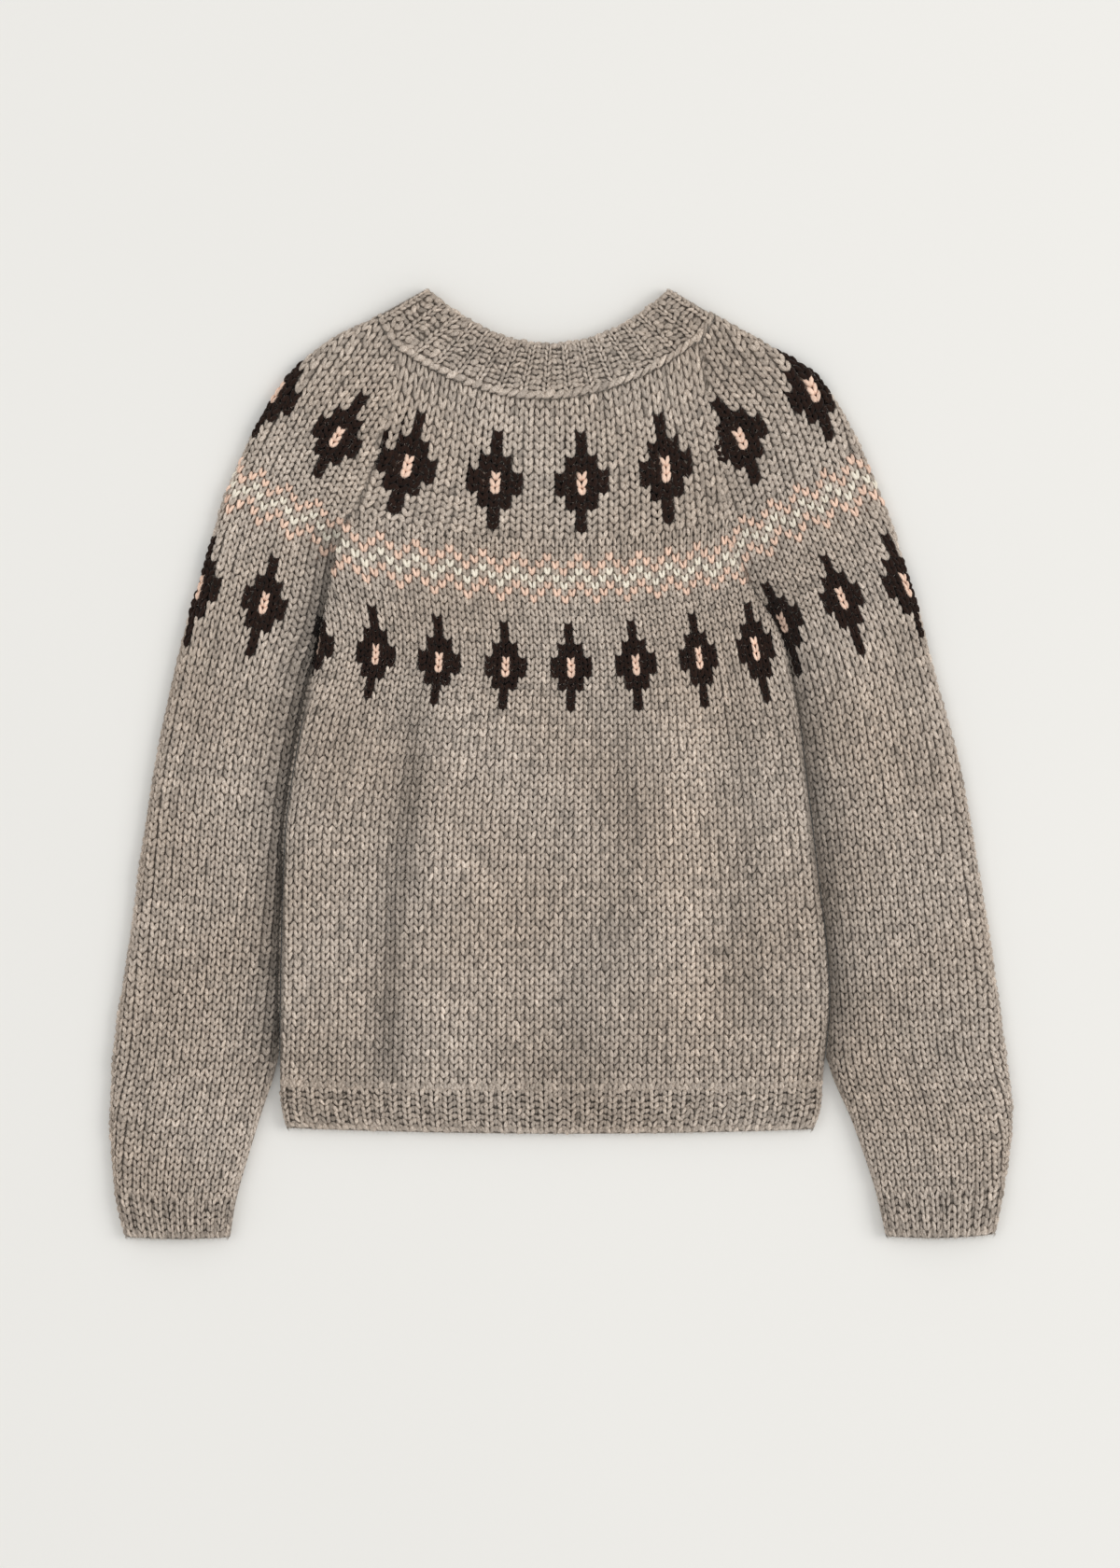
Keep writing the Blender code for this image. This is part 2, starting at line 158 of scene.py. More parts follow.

# Painted shade and painted light down the sleeves, which only change the tone and don't stand up
SLEEVE_PAINTED_LIGHT_AND_SHADE = [
    Fold("right shadow", 203, 235, 209, 160, 217, 78, 0.0, 17, 20, 0.1),
    Fold("right light", 233, 380, 240, 290, 250, 200, 0.0, 11, 20, -0.13),
    Fold("left shadow", -234, 372, -233, 330, -231, 285, 0.0, 12, 20, 0.05),
]

# How far a sleeve's middle stands up, course by course
Fullness = namedtuple("Fullness", "number height")
SLEEVE_FULLNESS = [
    Fullness(-26, 3.0),
    Fullness(-20, 3.5),
    Fullness(-8, 6.5),
    Fullness(20, 7.5),
    Fullness(52, 7.0),
    Fullness(72, 4.5),
    Fullness(95, 1.0),
]

# Which course each row of knitting lies on. A sleeve's rows lie a little closer round the pattern.
Row = namedtuple("Row", "number course")
FRONT_ROWS = [Row(-8, -8), Row(0, 0), Row(40, 39.8), Row(52, 51.5), Row(90, 89.4), Row(95, 95)]
SLEEVE_ROWS = [
    *(Row(-26, -26), Row(0, 0), Row(30, 31.2), Row(52, 54.1), Row(64, 65.2)),
    *(Row(71, 72.1), Row(84, 83.2), Row(90, 88.4), Row(98, 95)),
]

# The gauge: how wide a stitch is, course by course, below the decrease round and above it
Gauge = namedtuple("Gauge", "number width")
FRONT_GAUGE = (
    [Gauge(0, 6.87), Gauge(13, 6.87), Gauge(33, 6.7), Gauge(42, 6.5), Gauge(52, 6.2)]
    + [Gauge(60, 5.93), Gauge(72, 5.81), Gauge(75, 5.8)],
    [Gauge(76, 8.05), Gauge(84, 8.0), Gauge(95, 7.6)],
)
LEFT_GAUGE = (
    [Gauge(-20, 5.6), Gauge(-12, 6.2), Gauge(0, 6.25), Gauge(38, 6.15), Gauge(52, 6.05)]
    + [Gauge(59, 6.5), Gauge(66, 6.4), Gauge(75, 5.8)],
    [Gauge(76, 7.1), Gauge(84, 7.1), Gauge(95, 7.3)],
)
RIGHT_GAUGE = (
    [Gauge(-20, 5.7), Gauge(-12, 6.2), Gauge(0, 6.25), Gauge(38, 6.15), Gauge(52, 5.95)]
    + [Gauge(59, 5.9), Gauge(66, 5.85), Gauge(75, 5.6)],
    [Gauge(76, 7.8), Gauge(84, 7.95), Gauge(95, 7.5)],
)

# The yoke's charts, a row of knitting a line, the top one first: D dark, P peach, C cream, . the wool
DIAMOND = (
    *["..D.."] * 3,
    *[".DDD."] * 2,
    *["DDPDD"] * 3,
    *[".DDD."] * 2,
    *["..D.."] * 3,
)
ZIGZAG = (".P..", "P.P.", ".C.P", "C.C.", ".P.C", "P.P.", "...P")
REPEAT = 8  # stitches from one diamond to the next
UPPER_TOP = 90  # the course of a chart's top row
ZIGZAG_TOP = 74
LOWER_TOP = 64

# Where the columns close up at the sides of the lower pattern, and where those of the yoke lean out: each a
# distance from the middle, and a course
CLOSE_FROM, CLOSE_ROW = 102, 58
LEAN_TO, LEAN_ROW = 111, 83

HEM_RIBS = 40
CUFF_RIBS = 12
NECK_RIBS = 17
NECK_COURSES = 10

# How light the cloth under the stitches is painted, beside the yarn: painted shade in the gaps between the
# stitches
CLOTH_PAINTED_SHADE = 0.86
BAND_PAINTED_SHADE = 0.8

HEATHER_ROWS = 160  # how many rows the heather's chances are drawn for, before they come again
MOST_WALES = 40  # more columns than there are on either side of any panel's middle
SEAM_SPARE = 0.05  # the share of a stitch that is left free at an open seam
HAIR_RADIUS = 0.035
PICTURE_SHAPE = 1680 / 1200  # how tall the picture is for its width


# Curves and surfaces


def spline(table, column, number):
    """A column of a table at any courses, on a smooth curve through its rows."""
    at = np.array([row.number for row in table], float)
    value = np.array([getattr(row, column) for row in table], float)
    low = np.maximum(np.arange(len(at)) - 1, 0)
    high = np.minimum(np.arange(len(at)) + 1, len(at) - 1)
    slope = (value[high] - value[low]) / (at[high] - at[low])
    number = np.asarray(number, float)
    here = np.clip(np.searchsorted(at, number, side="right") - 1, 0, len(at) - 2)
    step = at[here + 1] - at[here]
    t = (number - at[here]) / step
    return (
        (1 + 2 * t) * (1 - t) ** 2 * value[here]
        + t * (1 - t) ** 2 * step * slope[here]
        + t * t * (3 - 2 * t) * value[here + 1]
        - t * t * (1 - t) * step * slope[here + 1]
    )


def smooth(value):
    """A soft step from 0 to 1."""
    value = np.clip(value, 0.0, 1.0)
    return value * value * (3 - 2 * value)


def unit(vectors):
    """Vectors made one long."""
    return vectors / np.maximum(np.linalg.norm(vectors, axis=-1, keepdims=True), 1e-9)


def arc(points, share):
    """The point at a share of the way along the arc through three points."""
    x0, y0, x1, y1, x2, y2 = points
    a = (1 - share) * (1 - 2 * share)
    b = 4 * share * (1 - share)
    c = share * (2 * share - 1)
    return a * x0 + b * x1 + c * x2, a * y0 + b * y1 + c * y2


def crease(number):
    """How far a side edge is folded down: 1 below the underarm, and 0 where the yoke runs on flat."""
    return 1 - smooth((number - UNDERARM) / (CREASE_END - UNDERARM))


def ripple(x, y):
    """The slight unevenness of cloth that was smoothed out by hand."""
    return (
        0.35 * np.sin(x / 23 + y / 61 + 0.4)
        + 0.3 * np.sin(y / 29 - x / 47 + 2.1)
        + 0.2 * np.sin(x / 11 + y / 17 + 5.0)
    )


def fold_height_and_painted_shade(x, y, folds):
    """How high folds stand at places on the cloth, and how much painted shade they put on the wool, which is
    painted light where it is below 0.
    """
    total = shadow = 0.0
    for fold in folds:
        down = (fold.y0 - y) / (fold.y0 - fold.y2)
        held = np.clip(down, -0.1, 1.1)
        middle = (fold.y0 - fold.y1) / (fold.y0 - fold.y2)
        bend = fold.x1 - fold.x0 - (fold.x2 - fold.x0) * middle
        line = fold.x0 + (fold.x2 - fold.x0) * held
        line = line + bend * held * (1 - held) / (middle * (1 - middle)) + 1.5 * np.sin(y / 31)
        away = x - line
        step = 0.5 + 0.5 * np.tanh(away / fold.steep)
        tail = np.exp(-((np.maximum(away, 0) / fold.reach) ** 2))
        dip = 0.3 * np.exp(-(((away + fold.steep) / fold.steep) ** 2))
        ends = smooth((down + 0.12) / 0.3) * smooth((1.1 - down) / 0.3)
        total = total + fold.height * ends * (step * tail - dip)
        face = np.exp(-(((away + 0.3 * fold.steep) / (1.5 * fold.steep)) ** 2))
        # painted shade on the steep face; a dark below 0 paints light there instead
        shadow = shadow + fold.dark * ends * face
    return total, shadow


class Panel:
    """The front and its hem. A place on it is a course and a distance from the course's middle."""

    table = BODY
    gauge = FRONT_GAUGE
    hand = 1  # the way the distance grows across the picture: 1 to the right, -1 to the left
    diamond_shift = (2, 2)  # where a diamond's middle stitch is, in the lower and the upper row
    lower_shift, upper_shift = -0.3, 0.9  # how many stitches the columns are moved across, in the same rows
    seam_dip = 0.3  # how deep the raglan seams lie
    rows = FRONT_ROWS
    folds = FOLDS_WITH_PAINTED_LIGHT_AND_SHADE
    rolls = (4.5, 9.0)  # how wide the rolled edges are, at the distance's low and high ends
    insets = (1.3, 1.3)  # how far the stitches keep back from those edges
    # painted shade in each edge's crease: how dark it is painted, how far that reaches, and how soon it fades
    # where the crease closes
    painted_crease_shadows = ((0.6, 4.2, 0.4), (0.5, 5.0, 0.5))
    # a tone below 1 is painted shade over a whole panel's wool
    tone = 1.0  # how light the wool is
    squeeze = 0.1  # how much closer the columns lie near the sides of the lower pattern
    lean = 0.0095  # how the outer columns of the yoke lean out from the neck
    crease_foot = (-1.0, 0.0)  # the courses between which the crease opens, where a sleeve leaves the body

    def points(self, number):
        return [spline(self.table, column, number) for column in Course._fields[2:]]

    def plan(self, number, share):
        return arc(self.points(number), share)

    def length(self, number):
        x0, y0, x1, y1, x2, y2 = self.points(number)
        return np.hypot(x1 - x0, y1 - y0) + np.hypot(x2 - x1, y2 - y1)

    def fold(self, number, share):
        """How far the nearer edge is folded down."""
        return crease(number) + 0 * share

    def height(self, number, share, x, y):
        total = 0.0
        for ridge in RIDGES:
            dx, dy = ridge.x1 - ridge.x0, ridge.y1 - ridge.y0
            part = ((x - ridge.x0) * dx + (y - ridge.y0) * dy) / (dx * dx + dy * dy)
            part = np.clip(part, 0.0, 1.0)
            away = np.hypot(x - ridge.x0 - part * dx, y - ridge.y0 - part * dy)
            total = total + ridge.height * np.exp(-((away / ridge.width) ** 2))
        side = np.minimum(share, 1 - share)
        ends = smooth((number + 6) / 14) * smooth((NECK_SEAM - number) / 12)
        folds = fold_height_and_painted_shade(x, y, self.folds)[0] + ripple(x, y)
        lift = (total * smooth(side / 0.14) + folds * smooth(side / 0.05)) * ends
        return FLAT_HEIGHT + lift - self.dip(number, side) - self.edge_drop(number)

    def edge_drop(self, number):
        """How far a band's free edge is rounded down."""
        return EDGE_DROP * (1 - smooth((number - self.table[0].number) / 0.9))

    def dip(self, number, side):
        """How the cloth dips along a raglan seam."""
        away = np.maximum(side, 0) * self.length(number)
        return self.seam_dip * (1 - crease(number)) * np.exp(-((away / 4.5) ** 2))

    def stitch_width(self, number, rise=0.0):
        """How wide a course's stitches are, or would be so much further up their own columns."""
        below, above = (spline(rows, "width", number + rise) for rows in self.gauge)
        return np.where(number < DECREASE, below, above)

    def away_of(self, number, wale, rise=0.0):
        """How far a stitch's column lies from the middle of its course, or so much further up."""
        shift = np.where(number < DECREASE, self.lower_shift, self.upper_shift)
        away = (wale + shift) * self.stitch_width(number, rise)
        reach, row = np.abs(away), number + rise
        closer = self.squeeze * np.maximum(reach - CLOSE_FROM, 0) * np.exp(-(((row - CLOSE_ROW) / 9) ** 2))
        outer = (np.minimum(reach, LEAN_TO) / LEAN_TO) ** 2
        leaning = self.lean * np.clip(row - LEAN_ROW, -8, 8) * reach * outer
        return away - np.sign(away) * np.where(number < DECREASE, closer, leaning)

    def closed(self, number):
        """How far the crease has closed: 0 where a sleeve lies free of the body, and 1 further up."""
        foot, top = self.crease_foot
        return smooth((number - foot) / (top - foot))

    def place(self, number, away):
        """The point on the surface at a distance from the middle of a course."""
        length = self.length(number)
        reach, side = np.abs(away), np.sign(away)
        free = 1 - self.closed(number)
        roll = np.where(side < 0, self.rolls[0] + (FREE_ROLL - self.rolls[0]) * free, self.rolls[1])
        flat, edge = length / 2 - roll, length / 2 + FOLD_REACH
        turned = np.clip((reach - flat) / (edge - flat), 0.0, 1.0) * np.pi / 2
        turned = turned + np.clip((reach - edge) / FOLD_HEIGHT, 0.0, 0.6)
        fold = self.fold(number, 0.5 + 0.5 * side) ** 0.6
        rolled = np.where(reach > flat, flat + roll * np.sin(turned), reach)
        rolled = rolled - np.where(side < 0, *self.insets) * (turned / (np.pi / 2)) ** 2
        share = 0.5 + side * (fold * rolled + (1 - fold) * reach) / length
        x, y = self.plan(number, share)
        height = self.height(number, np.clip(share, 0.0, 1.0), x, y)
        z = height - fold * (height - FOLD_HEIGHT) * (1 - np.cos(turned))
        return np.stack([x, y, z], axis=-1)

    def course_of(self, row):
        """The course that a row of knitting lies on."""
        return spline(self.rows, "course", row)

    def shade(self, number, away, x, y):
        """How light the wool is painted: painted shade down in a crease, and the folds' painted shade and
        painted light.
        """
        reach, side = np.abs(away), np.sign(away)
        depth, width, fade = (np.where(side < 0, *ends) for ends in zip(*self.painted_crease_shadows))
        fold = self.fold(number, 0.5 + 0.5 * side) ** fade * self.closed(number)
        into = self.length(number) / 2 + FOLD_REACH - reach
        kept = self.tone - fold * depth * np.exp(-((np.maximum(into, 0) / width) ** 2))
        return kept * (1 - fold_height_and_painted_shade(x, y, self.folds)[1])

    def yarn(self, number, wale):
        """Which yarn each stitch is knitted with: 0 the wool, 1 dark, 2 peach, 3 cream."""
        lower, upper = self.diamond_shift
        yarn = chart(DIAMOND, REPEAT, LOWER_TOP - number, wale - lower + 2)
        yarn = np.maximum(yarn, chart(DIAMOND, REPEAT, UPPER_TOP - number, wale - upper + 2))
        return np.maximum(yarn, chart(ZIGZAG, 4, ZIGZAG_TOP - number, wale + 1))


class Sleeve(Panel):
    """A sleeve. The distance grows from the body to the outer fold."""

    rows = SLEEVE_ROWS
    folds = SLEEVE_PAINTED_LIGHT_AND_SHADE
    lower_shift = 0.0
    crease_foot = (-8.0, 2.0)
    squeeze = lean = 0.0

    def __init__(self, side):
        left = side < 0
        self.hand = side
        self.table = LEFT_SLEEVE if left else RIGHT_SLEEVE
        self.gauge = LEFT_GAUGE if left else RIGHT_GAUGE
        self.diamond_shift = (-1, -2) if left else (0, -4)
        self.upper_shift = 0.0 if left else 0.5
        self.edge = ("x0", "y0") if left else ("x2", "y2")
        self.rolls = (17.0, 15.0) if left else (7.0, 14.0)
        self.insets = (1.8, 1.0) if left else (1.3, 0.0)
        # painted shade in the crease beside the body, deep and wide on the left sleeve
        self.painted_crease_shadows = ((0.9, 17.0, 0.13) if left else (0.52, 16.0, 0.6), (0.0, 1.0, 1.0))
        # painted shade: the right sleeve's wool is painted a little darker, against the main light that falls
        # on it from the right
        self.tone = 1.0 if left else 0.955
        heights = np.linspace(HEM_SEAM - 1, UNDERARM, 400)
        self.body_side = [spline(BODY, column, heights) for column in self.edge]

    def points(self, number):
        x0, y0, x1, y1, x2, y2 = super().points(number)
        edge_x, edge_y = (spline(BODY, column, number) for column in self.edge)
        beside = np.interp(y0, self.body_side[1], self.body_side[0])
        beside = beside + self.hand * CREASE_GAP * smooth((UNDERARM - number) / 6)
        x0 = np.where(number >= UNDERARM, edge_x, np.where(number >= 0, beside, x0))
        y0 = np.where(number >= UNDERARM, edge_y, y0)
        return [x0, y0, x1, y1, x2, y2]

    def fold(self, number, share):
        return np.where(share < 0.5, crease(number), 1.0)

    def height(self, number, share, x, y):
        full = spline(SLEEVE_FULLNESS, "height", number) * np.sin(np.pi * share)
        wrinkle = ripple(x, y) * smooth(np.minimum(share, 1 - share) / 0.2)
        return FLAT_HEIGHT + full + wrinkle - self.dip(number, share) - self.edge_drop(number)


class Neck(Panel):
    """The neckband, whose courses run round the neck from its seam to its free edge."""

    def __init__(self):
        places = np.linspace(0.0, 1.0, 21)
        left = np.stack(Sleeve(-1).plan(NECK_SEAM, places[::-1]), axis=-1)
        front = np.stack(Panel().plan(NECK_SEAM, places), axis=-1)
        right = np.stack(Sleeve(1).plan(NECK_SEAM, places), axis=-1)
        self.seam = np.concatenate([left, front[1:], right[1:]])
        steps = np.linalg.norm(np.diff(self.seam, axis=0), axis=1)
        self.travel = np.concatenate([[0.0], np.cumsum(steps)]) / steps.sum()
        self.seam_length = steps.sum()

    def plan(self, number, share):
        seam_x = np.interp(share, self.travel, self.seam[:, 0])
        seam_y = np.interp(share, self.travel, self.seam[:, 1])
        edge_x, edge_y = arc(NECK_EDGE[2:], share)
        part = number / NECK_END
        return seam_x + (edge_x - seam_x) * part, seam_y + (edge_y - seam_y) * part

    def length(self, number):
        edge = math.dist(NECK_EDGE[2:4], NECK_EDGE[4:6]) + math.dist(NECK_EDGE[4:6], NECK_EDGE[6:])
        return self.seam_length + (edge - self.seam_length) * number / NECK_END

    def fold(self, number, share):
        return 1.0 + 0 * share

    def height(self, number, share, x, y):
        return NECK_HEIGHT - EDGE_DROP * smooth((number - NECK_END + 0.8) / 0.8) + 0 * share


def chart(rows, repeat, row, column):
    """Which yarn a chart gives at its rows and columns, and 0 outside it."""
    width = len(rows[0])
    table = np.array([[".DPC".index(mark) for mark in line] for line in rows])
    row, column = np.broadcast_arrays(np.asarray(row, int), np.mod(column, repeat).astype(int))
    inside = (row >= 0) & (row < len(rows)) & (column < width)
    return np.where(inside, table[np.clip(row, 0, len(rows) - 1), np.clip(column, 0, width - 1)], 0)


def in_frame(points):
    """Points in the frame's metres."""
    points = np.asarray(points, float).copy()
    points[..., 0] -= OUTLINE_MIDDLE[0]
    points[..., 1] -= OUTLINE_MIDDLE[1]
    return points * MM


# Yarn colours


def blotch(x, y):
    """Slow changes in the wool's colour, from -1 to 1."""
    return np.sin(x / 31 + 1.3 * np.sin(y / 43)) * np.sin(y / 37 + 1.1 * np.sin(x / 59) + 1.0)


def yarn_colours(look, yarn, number, wale, x, y, rng):
    """A colour for each stitch. The wool's own varies along the strand and in slow blotches."""
    lines = rng.normal(size=(HEATHER_ROWS, HEATHER_ROWS))
    lines = (lines + np.roll(lines, 1, 1) + np.roll(lines, 2, 1)) / 1.7
    row = np.mod(np.round(number).astype(int), HEATHER_ROWS)
    column = np.mod(np.round(wale).astype(int), HEATHER_ROWS)
    shade = 1 + look.heather * (0.3 * lines[row, column] + 0.85 * rng.normal(size=row.shape))
    brown = smooth(0.5 + 0.4 * blotch(x, y))[..., None]
    wool = np.array(look.wool_colour) * (1 - brown) + np.array(look.wool_brown) * brown
    wool = wool * np.clip(shade, 0.55, 1.6)[..., None]
    plain = 1 + 0.1 * rng.normal(size=row.shape)[..., None]
    dark = np.array(look.dark_colour) * plain
    peach = np.array(look.peach_colour) * (1 + 0.5 * (plain - 1))
    cream = np.array(look.cream_colour) * (1 + 0.4 * (plain - 1))
    yarn = yarn[..., None]
    return np.where(yarn == 0, wool, np.where(yarn == 1, dark, np.where(yarn == 2, peach, cream)))


# Materials


class Socket:
    """A node's output that can be used in Python expressions."""

    def __init__(self, tree, out):
        self.tree = tree
        self.out = out

    def maths(self, operation, *values):
        return self.tree.add("ShaderNodeMath", {"operation": operation}, *values)

    def __add__(self, other):
        return self.maths("ADD", self, other)

    def __sub__(self, other):
        return self.maths("SUBTRACT", self, other)

    def __rsub__(self, other):
        return self.maths("SUBTRACT", other, self)

    def __mul__(self, other):
        return self.maths("MULTIPLY", self, other)

    def fraction(self):
        return self.maths("FRACT", self)

    def absolute(self):
        return self.maths("ABSOLUTE", self)

    def held(self):
        return self.tree.add("ShaderNodeClamp", {}, self, 0.0, 1.0)


class Nodes:
    """A material's node tree, with one method that adds a node and returns its first output."""

    def __init__(self, name):
        self.material = bpy.data.materials.new(name)
        self.material.use_nodes = True
        self.nodes = self.material.node_tree.nodes
        self.links = self.material.node_tree.links
        self.shader = self.nodes["Principled BSDF"]

    def put(self, socket, value):
        if isinstance(value, Socket):
            self.links.new(value.out, socket)
        elif value is not None:
            socket.default_value = value

    def add(self, kind, settings, *values, out=0, **named):
        node = self.nodes.new(kind)
        for setting, value in settings.items():
            setattr(node, setting, value)
        for index, value in enumerate(values):
            self.put(node.inputs[index], value)
        for key, value in named.items():
            self.put(node.inputs[key.replace("_", " ")], value)
        return Socket(self, node.outputs[out])

    def noise(self, scale, detail):
        """A noise at the object's own coordinates."""
        place = self.add("ShaderNodeTexCoord", {}, out=3)
        return self.add("ShaderNodeTexNoise", {}, Vector=place, Scale=scale, Detail=detail)

    def mix(self, kind, factor, a, b):
        """Mixes two colours."""
        node = self.nodes.new("ShaderNodeMix")
        node.data_type = "RGBA"
        node.blend_type = kind
        self.put(node.inputs[0], factor)
        self.put(node.inputs[6], a)
        self.put(node.inputs[7], b)
        return Socket(self, node.outputs[2])

    def finish(self, **sockets):
        for key, value in sockets.items():
            self.put(self.shader.inputs[key.replace("_", " ")], value)
        return self.material


def woollen(tree):
    """Sets the matt, slightly woolly surface that all the yarns share."""
    tree.finish(Roughness=0.92, Sheen_Weight=0.07, Sheen_Roughness=0.5, Specular_IOR_Level=0.15)


def strand_material():
    """Strands of wool: the stitch's own colour, with paler and darker fibres twisted along it."""
    tree = Nodes("wool strand")
    colour = tree.add("ShaderNodeAttribute", {"attribute_name": "yarn"})
    along = tree.add("ShaderNodeAttribute", {"attribute_name": "strand"}, out=1)
    fibres = tree.add("ShaderNodeTexNoise", {}, Vector=along, Scale=1.0, Detail=3.0, Roughness=0.7)
    specks = tree.noise(1300.0, 2.0)
    tone = (fibres * 2.2 + specks * 1.2 - 1.2).held()
    shade = tree.mix("MIX", tone, (0.54, 0.51, 0.48, 1), (1.42, 1.44, 1.46, 1))
    red = tree.add("ShaderNodeSeparateColor", {}, colour)
    light_yarn = (red * 6 - 4.5).held() * 0.8  # the peach and the cream are more even than the wool
    shade = tree.mix("MIX", light_yarn, shade, (1.04, 1.04, 1.04, 1))
    shown = tree.mix("MULTIPLY", 1.0, colour, shade)
    bump = tree.add("ShaderNodeBump", {}, Strength=0.8, Distance=0.0007, Height=fibres + specks * 0.4)
    woollen(tree)
    return tree.finish(Base_Color=shown, Normal=bump)


def cloth_material():
    """The knitted cloth itself, with its stitches in relief where no strands lie on it, and painted shade in
    the relief's hollows.
    """
    tree = Nodes("knitted wool cloth")
    colour = tree.add("ShaderNodeAttribute", {"attribute_name": "yarn"})
    stitches = tree.add("ShaderNodeUVMap", {"uv_map": "stitches"})
    across, up = (tree.add("ShaderNodeSeparateXYZ", {}, stitches, out=axis) for axis in (0, 1))
    lean = ((across + 0.5).fraction() - 0.5).absolute() * 2
    leg = 1 - ((lean - 0.5) * 2).absolute()
    rise = (up - lean * 0.55).fraction()
    swell = 1 - ((rise - 0.5) * 2).absolute()
    fibres = tree.noise(700.0, 3.0)
    relief = (leg * 1.6).held() * (swell * 2.2).held()
    tone = (relief * 1.2 + fibres * 0.6 - 0.4).held()
    # painted shade and light: the colour darkens in the relief's hollows and lightens on its legs, mixed with
    # the fibres' own speckle
    shade = tree.mix("MIX", tone, (0.42, 0.41, 0.4, 1), (1.1, 1.1, 1.1, 1))
    shown = tree.mix("MULTIPLY", 1.0, colour, shade)
    bump = tree.add("ShaderNodeBump", {}, Strength=0.9, Distance=0.0018, Height=relief + fibres * 0.3)
    woollen(tree)
    return tree.finish(Base_Color=shown, Normal=bump)


def hair_material():
    """Loose fibres of wool, paler than the cloth."""
    tree = Nodes("loose wool fibre")
    colour = tree.add("ShaderNodeAttribute", {"attribute_name": "yarn"})
    shown = tree.mix("MULTIPLY", tree.noise(400.0, 1.0) * 0.5, colour, (0.5, 0.47, 0.44, 1))
    return tree.finish(Base_Color=shown, Roughness=0.7, Sheen_Weight=0.1)


MATERIALS = {"strand": strand_material, "cloth": cloth_material, "hair": hair_material}


def material(name):
    """The material of a kind, made once."""
    kept = bpy.data.materials.get(f"jumper {name}")
    if kept is None:
        kept = MATERIALS[name]()
        kept.name = f"jumper {name}"
    return kept


# Meshes


def bow(share):
    """How a strand rises and falls from one end to the other."""
    return math.sin(math.pi * min(share, 1.0))


def plump_radius(look, thick, high):
    """The half width and half height of a plump strand at a share of the way along it."""

    def radius(share):
        plump = look.plump * max(bow(share), 0.0) ** 0.5
        return plump * thick, plump * high

    return radius


def strand(path, radius, sides=5, rings=3):
    """A closed strand's points and triangles: a grid rolled round its path, and pointed at both ends.

    path gives the middle and radius the half width and half height at shares of the way along it.
    """
    bm = bmesh.new()
    bmesh.ops.create_grid(bm, x_segments=sides, y_segments=rings + 1, size=1)
    for vert in bm.verts:
        turn = math.pi * (vert.co.x + 1)
        share = (vert.co.y + 1) / 2
        middle, ahead = path(share), path(share + 0.01)
        heading = math.atan2(ahead[1] - middle[1], ahead[0] - middle[0])
        wide, high = radius(share)
        out = wide * math.cos(turn)
        vert.co = (
            middle[0] + out * math.sin(heading),
            middle[1] - out * math.cos(heading),
            middle[2] + high * math.sin(turn),
        )
    bmesh.ops.remove_doubles(bm, verts=bm.verts, dist=0.0001)
    bmesh.ops.recalc_face_normals(bm, faces=bm.faces)
    bmesh.ops.triangulate(bm, faces=bm.faces)
    bm.verts.ensure_lookup_table()
    points = np.array([vert.co[:] for vert in bm.verts])
    triangles = np.array([[vert.index for vert in face.verts] for face in bm.faces])
    bm.free()
    return points, triangles


def joined(name, template, places, colours, kind, slot_name, rng, uneven=0.0):
    """One mesh of a template laid at many places.

    places are arrays of points, and of the vectors that one stitch across, one course up and one millimetre
    of height come to there. The template's points are measured in those. Where those vectors are left-handed,
    the copy is a mirror image, and its faces are turned to point outwards.
    """
    points, triangles = template
    origin, across, up, out = places
    count, size = len(origin), len(points)
    vertices = (
        origin[:, None, :]
        + points[None, :, 0:1] * across[:, None, :]
        + points[None, :, 1:2] * up[:, None, :]
        + points[None, :, 2:3] * out[:, None, :]
    )
    vertices = (vertices + uneven * rng.normal(size=vertices.shape)).reshape(-1, 3)
    mirrored = (np.cross(across, up) * out).sum(axis=-1) < 0
    faces = triangles[None] + size * np.arange(count)[:, None, None]
    faces = np.where(mirrored[:, None, None], faces[..., ::-1], faces).reshape(-1, 3)
    mesh = bpy.data.meshes.new(name)
    mesh.vertices.add(len(vertices))
    mesh.vertices.foreach_set("co", in_frame(vertices).astype(np.float32).ravel())
    mesh.loops.add(faces.size)
    mesh.loops.foreach_set("vertex_index", faces.astype(np.int32).ravel())
    mesh.polygons.add(len(faces))
    mesh.polygons.foreach_set("loop_start", np.arange(0, faces.size, 3, dtype=np.int32))
    mesh.update(calc_edges=True)
    mesh.shade_smooth()
    colour = mesh.color_attributes.new("yarn", "FLOAT_COLOR", "POINT")
    rgba = np.ones((count, size, 4), np.float32)
    rgba[..., :3] = colours[:, None, :]
    colour.data.foreach_set("color", rgba.ravel())
    along = mesh.attributes.new("strand", "FLOAT_VECTOR", "POINT")
    chance = rng.uniform(0, 100, size=(count, 1, 3))
    local = points[None] * np.array([9.0, 1.3, 1.4]) + points[None, :, 1:2] * np.array([3.0, 0, 0])
    along.data.foreach_set("vector", (local + chance).astype(np.float32).ravel())
    piece = bpy.data.objects.new(name, mesh)
    mesh.materials.append(material(kind))
    bpy.context.scene.collection.objects.link(piece)
    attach(piece, "root")
    return piece


def knit_places(panel, row, wale, rng, loose):
    """Where stitches lie on a panel, a little uneven, as vectors for a template."""
    number = panel.course_of(row)
    rise = panel.course_of(row + 1) - number
    width = panel.away_of(number, wale + 0.5) - panel.away_of(number, wale - 0.5)
    away = panel.away_of(number, wale) + loose * width * rng.normal(size=width.shape)
    return lay(panel, number, away, width, panel.away_of(number, wale, rise), rng, loose, rise)


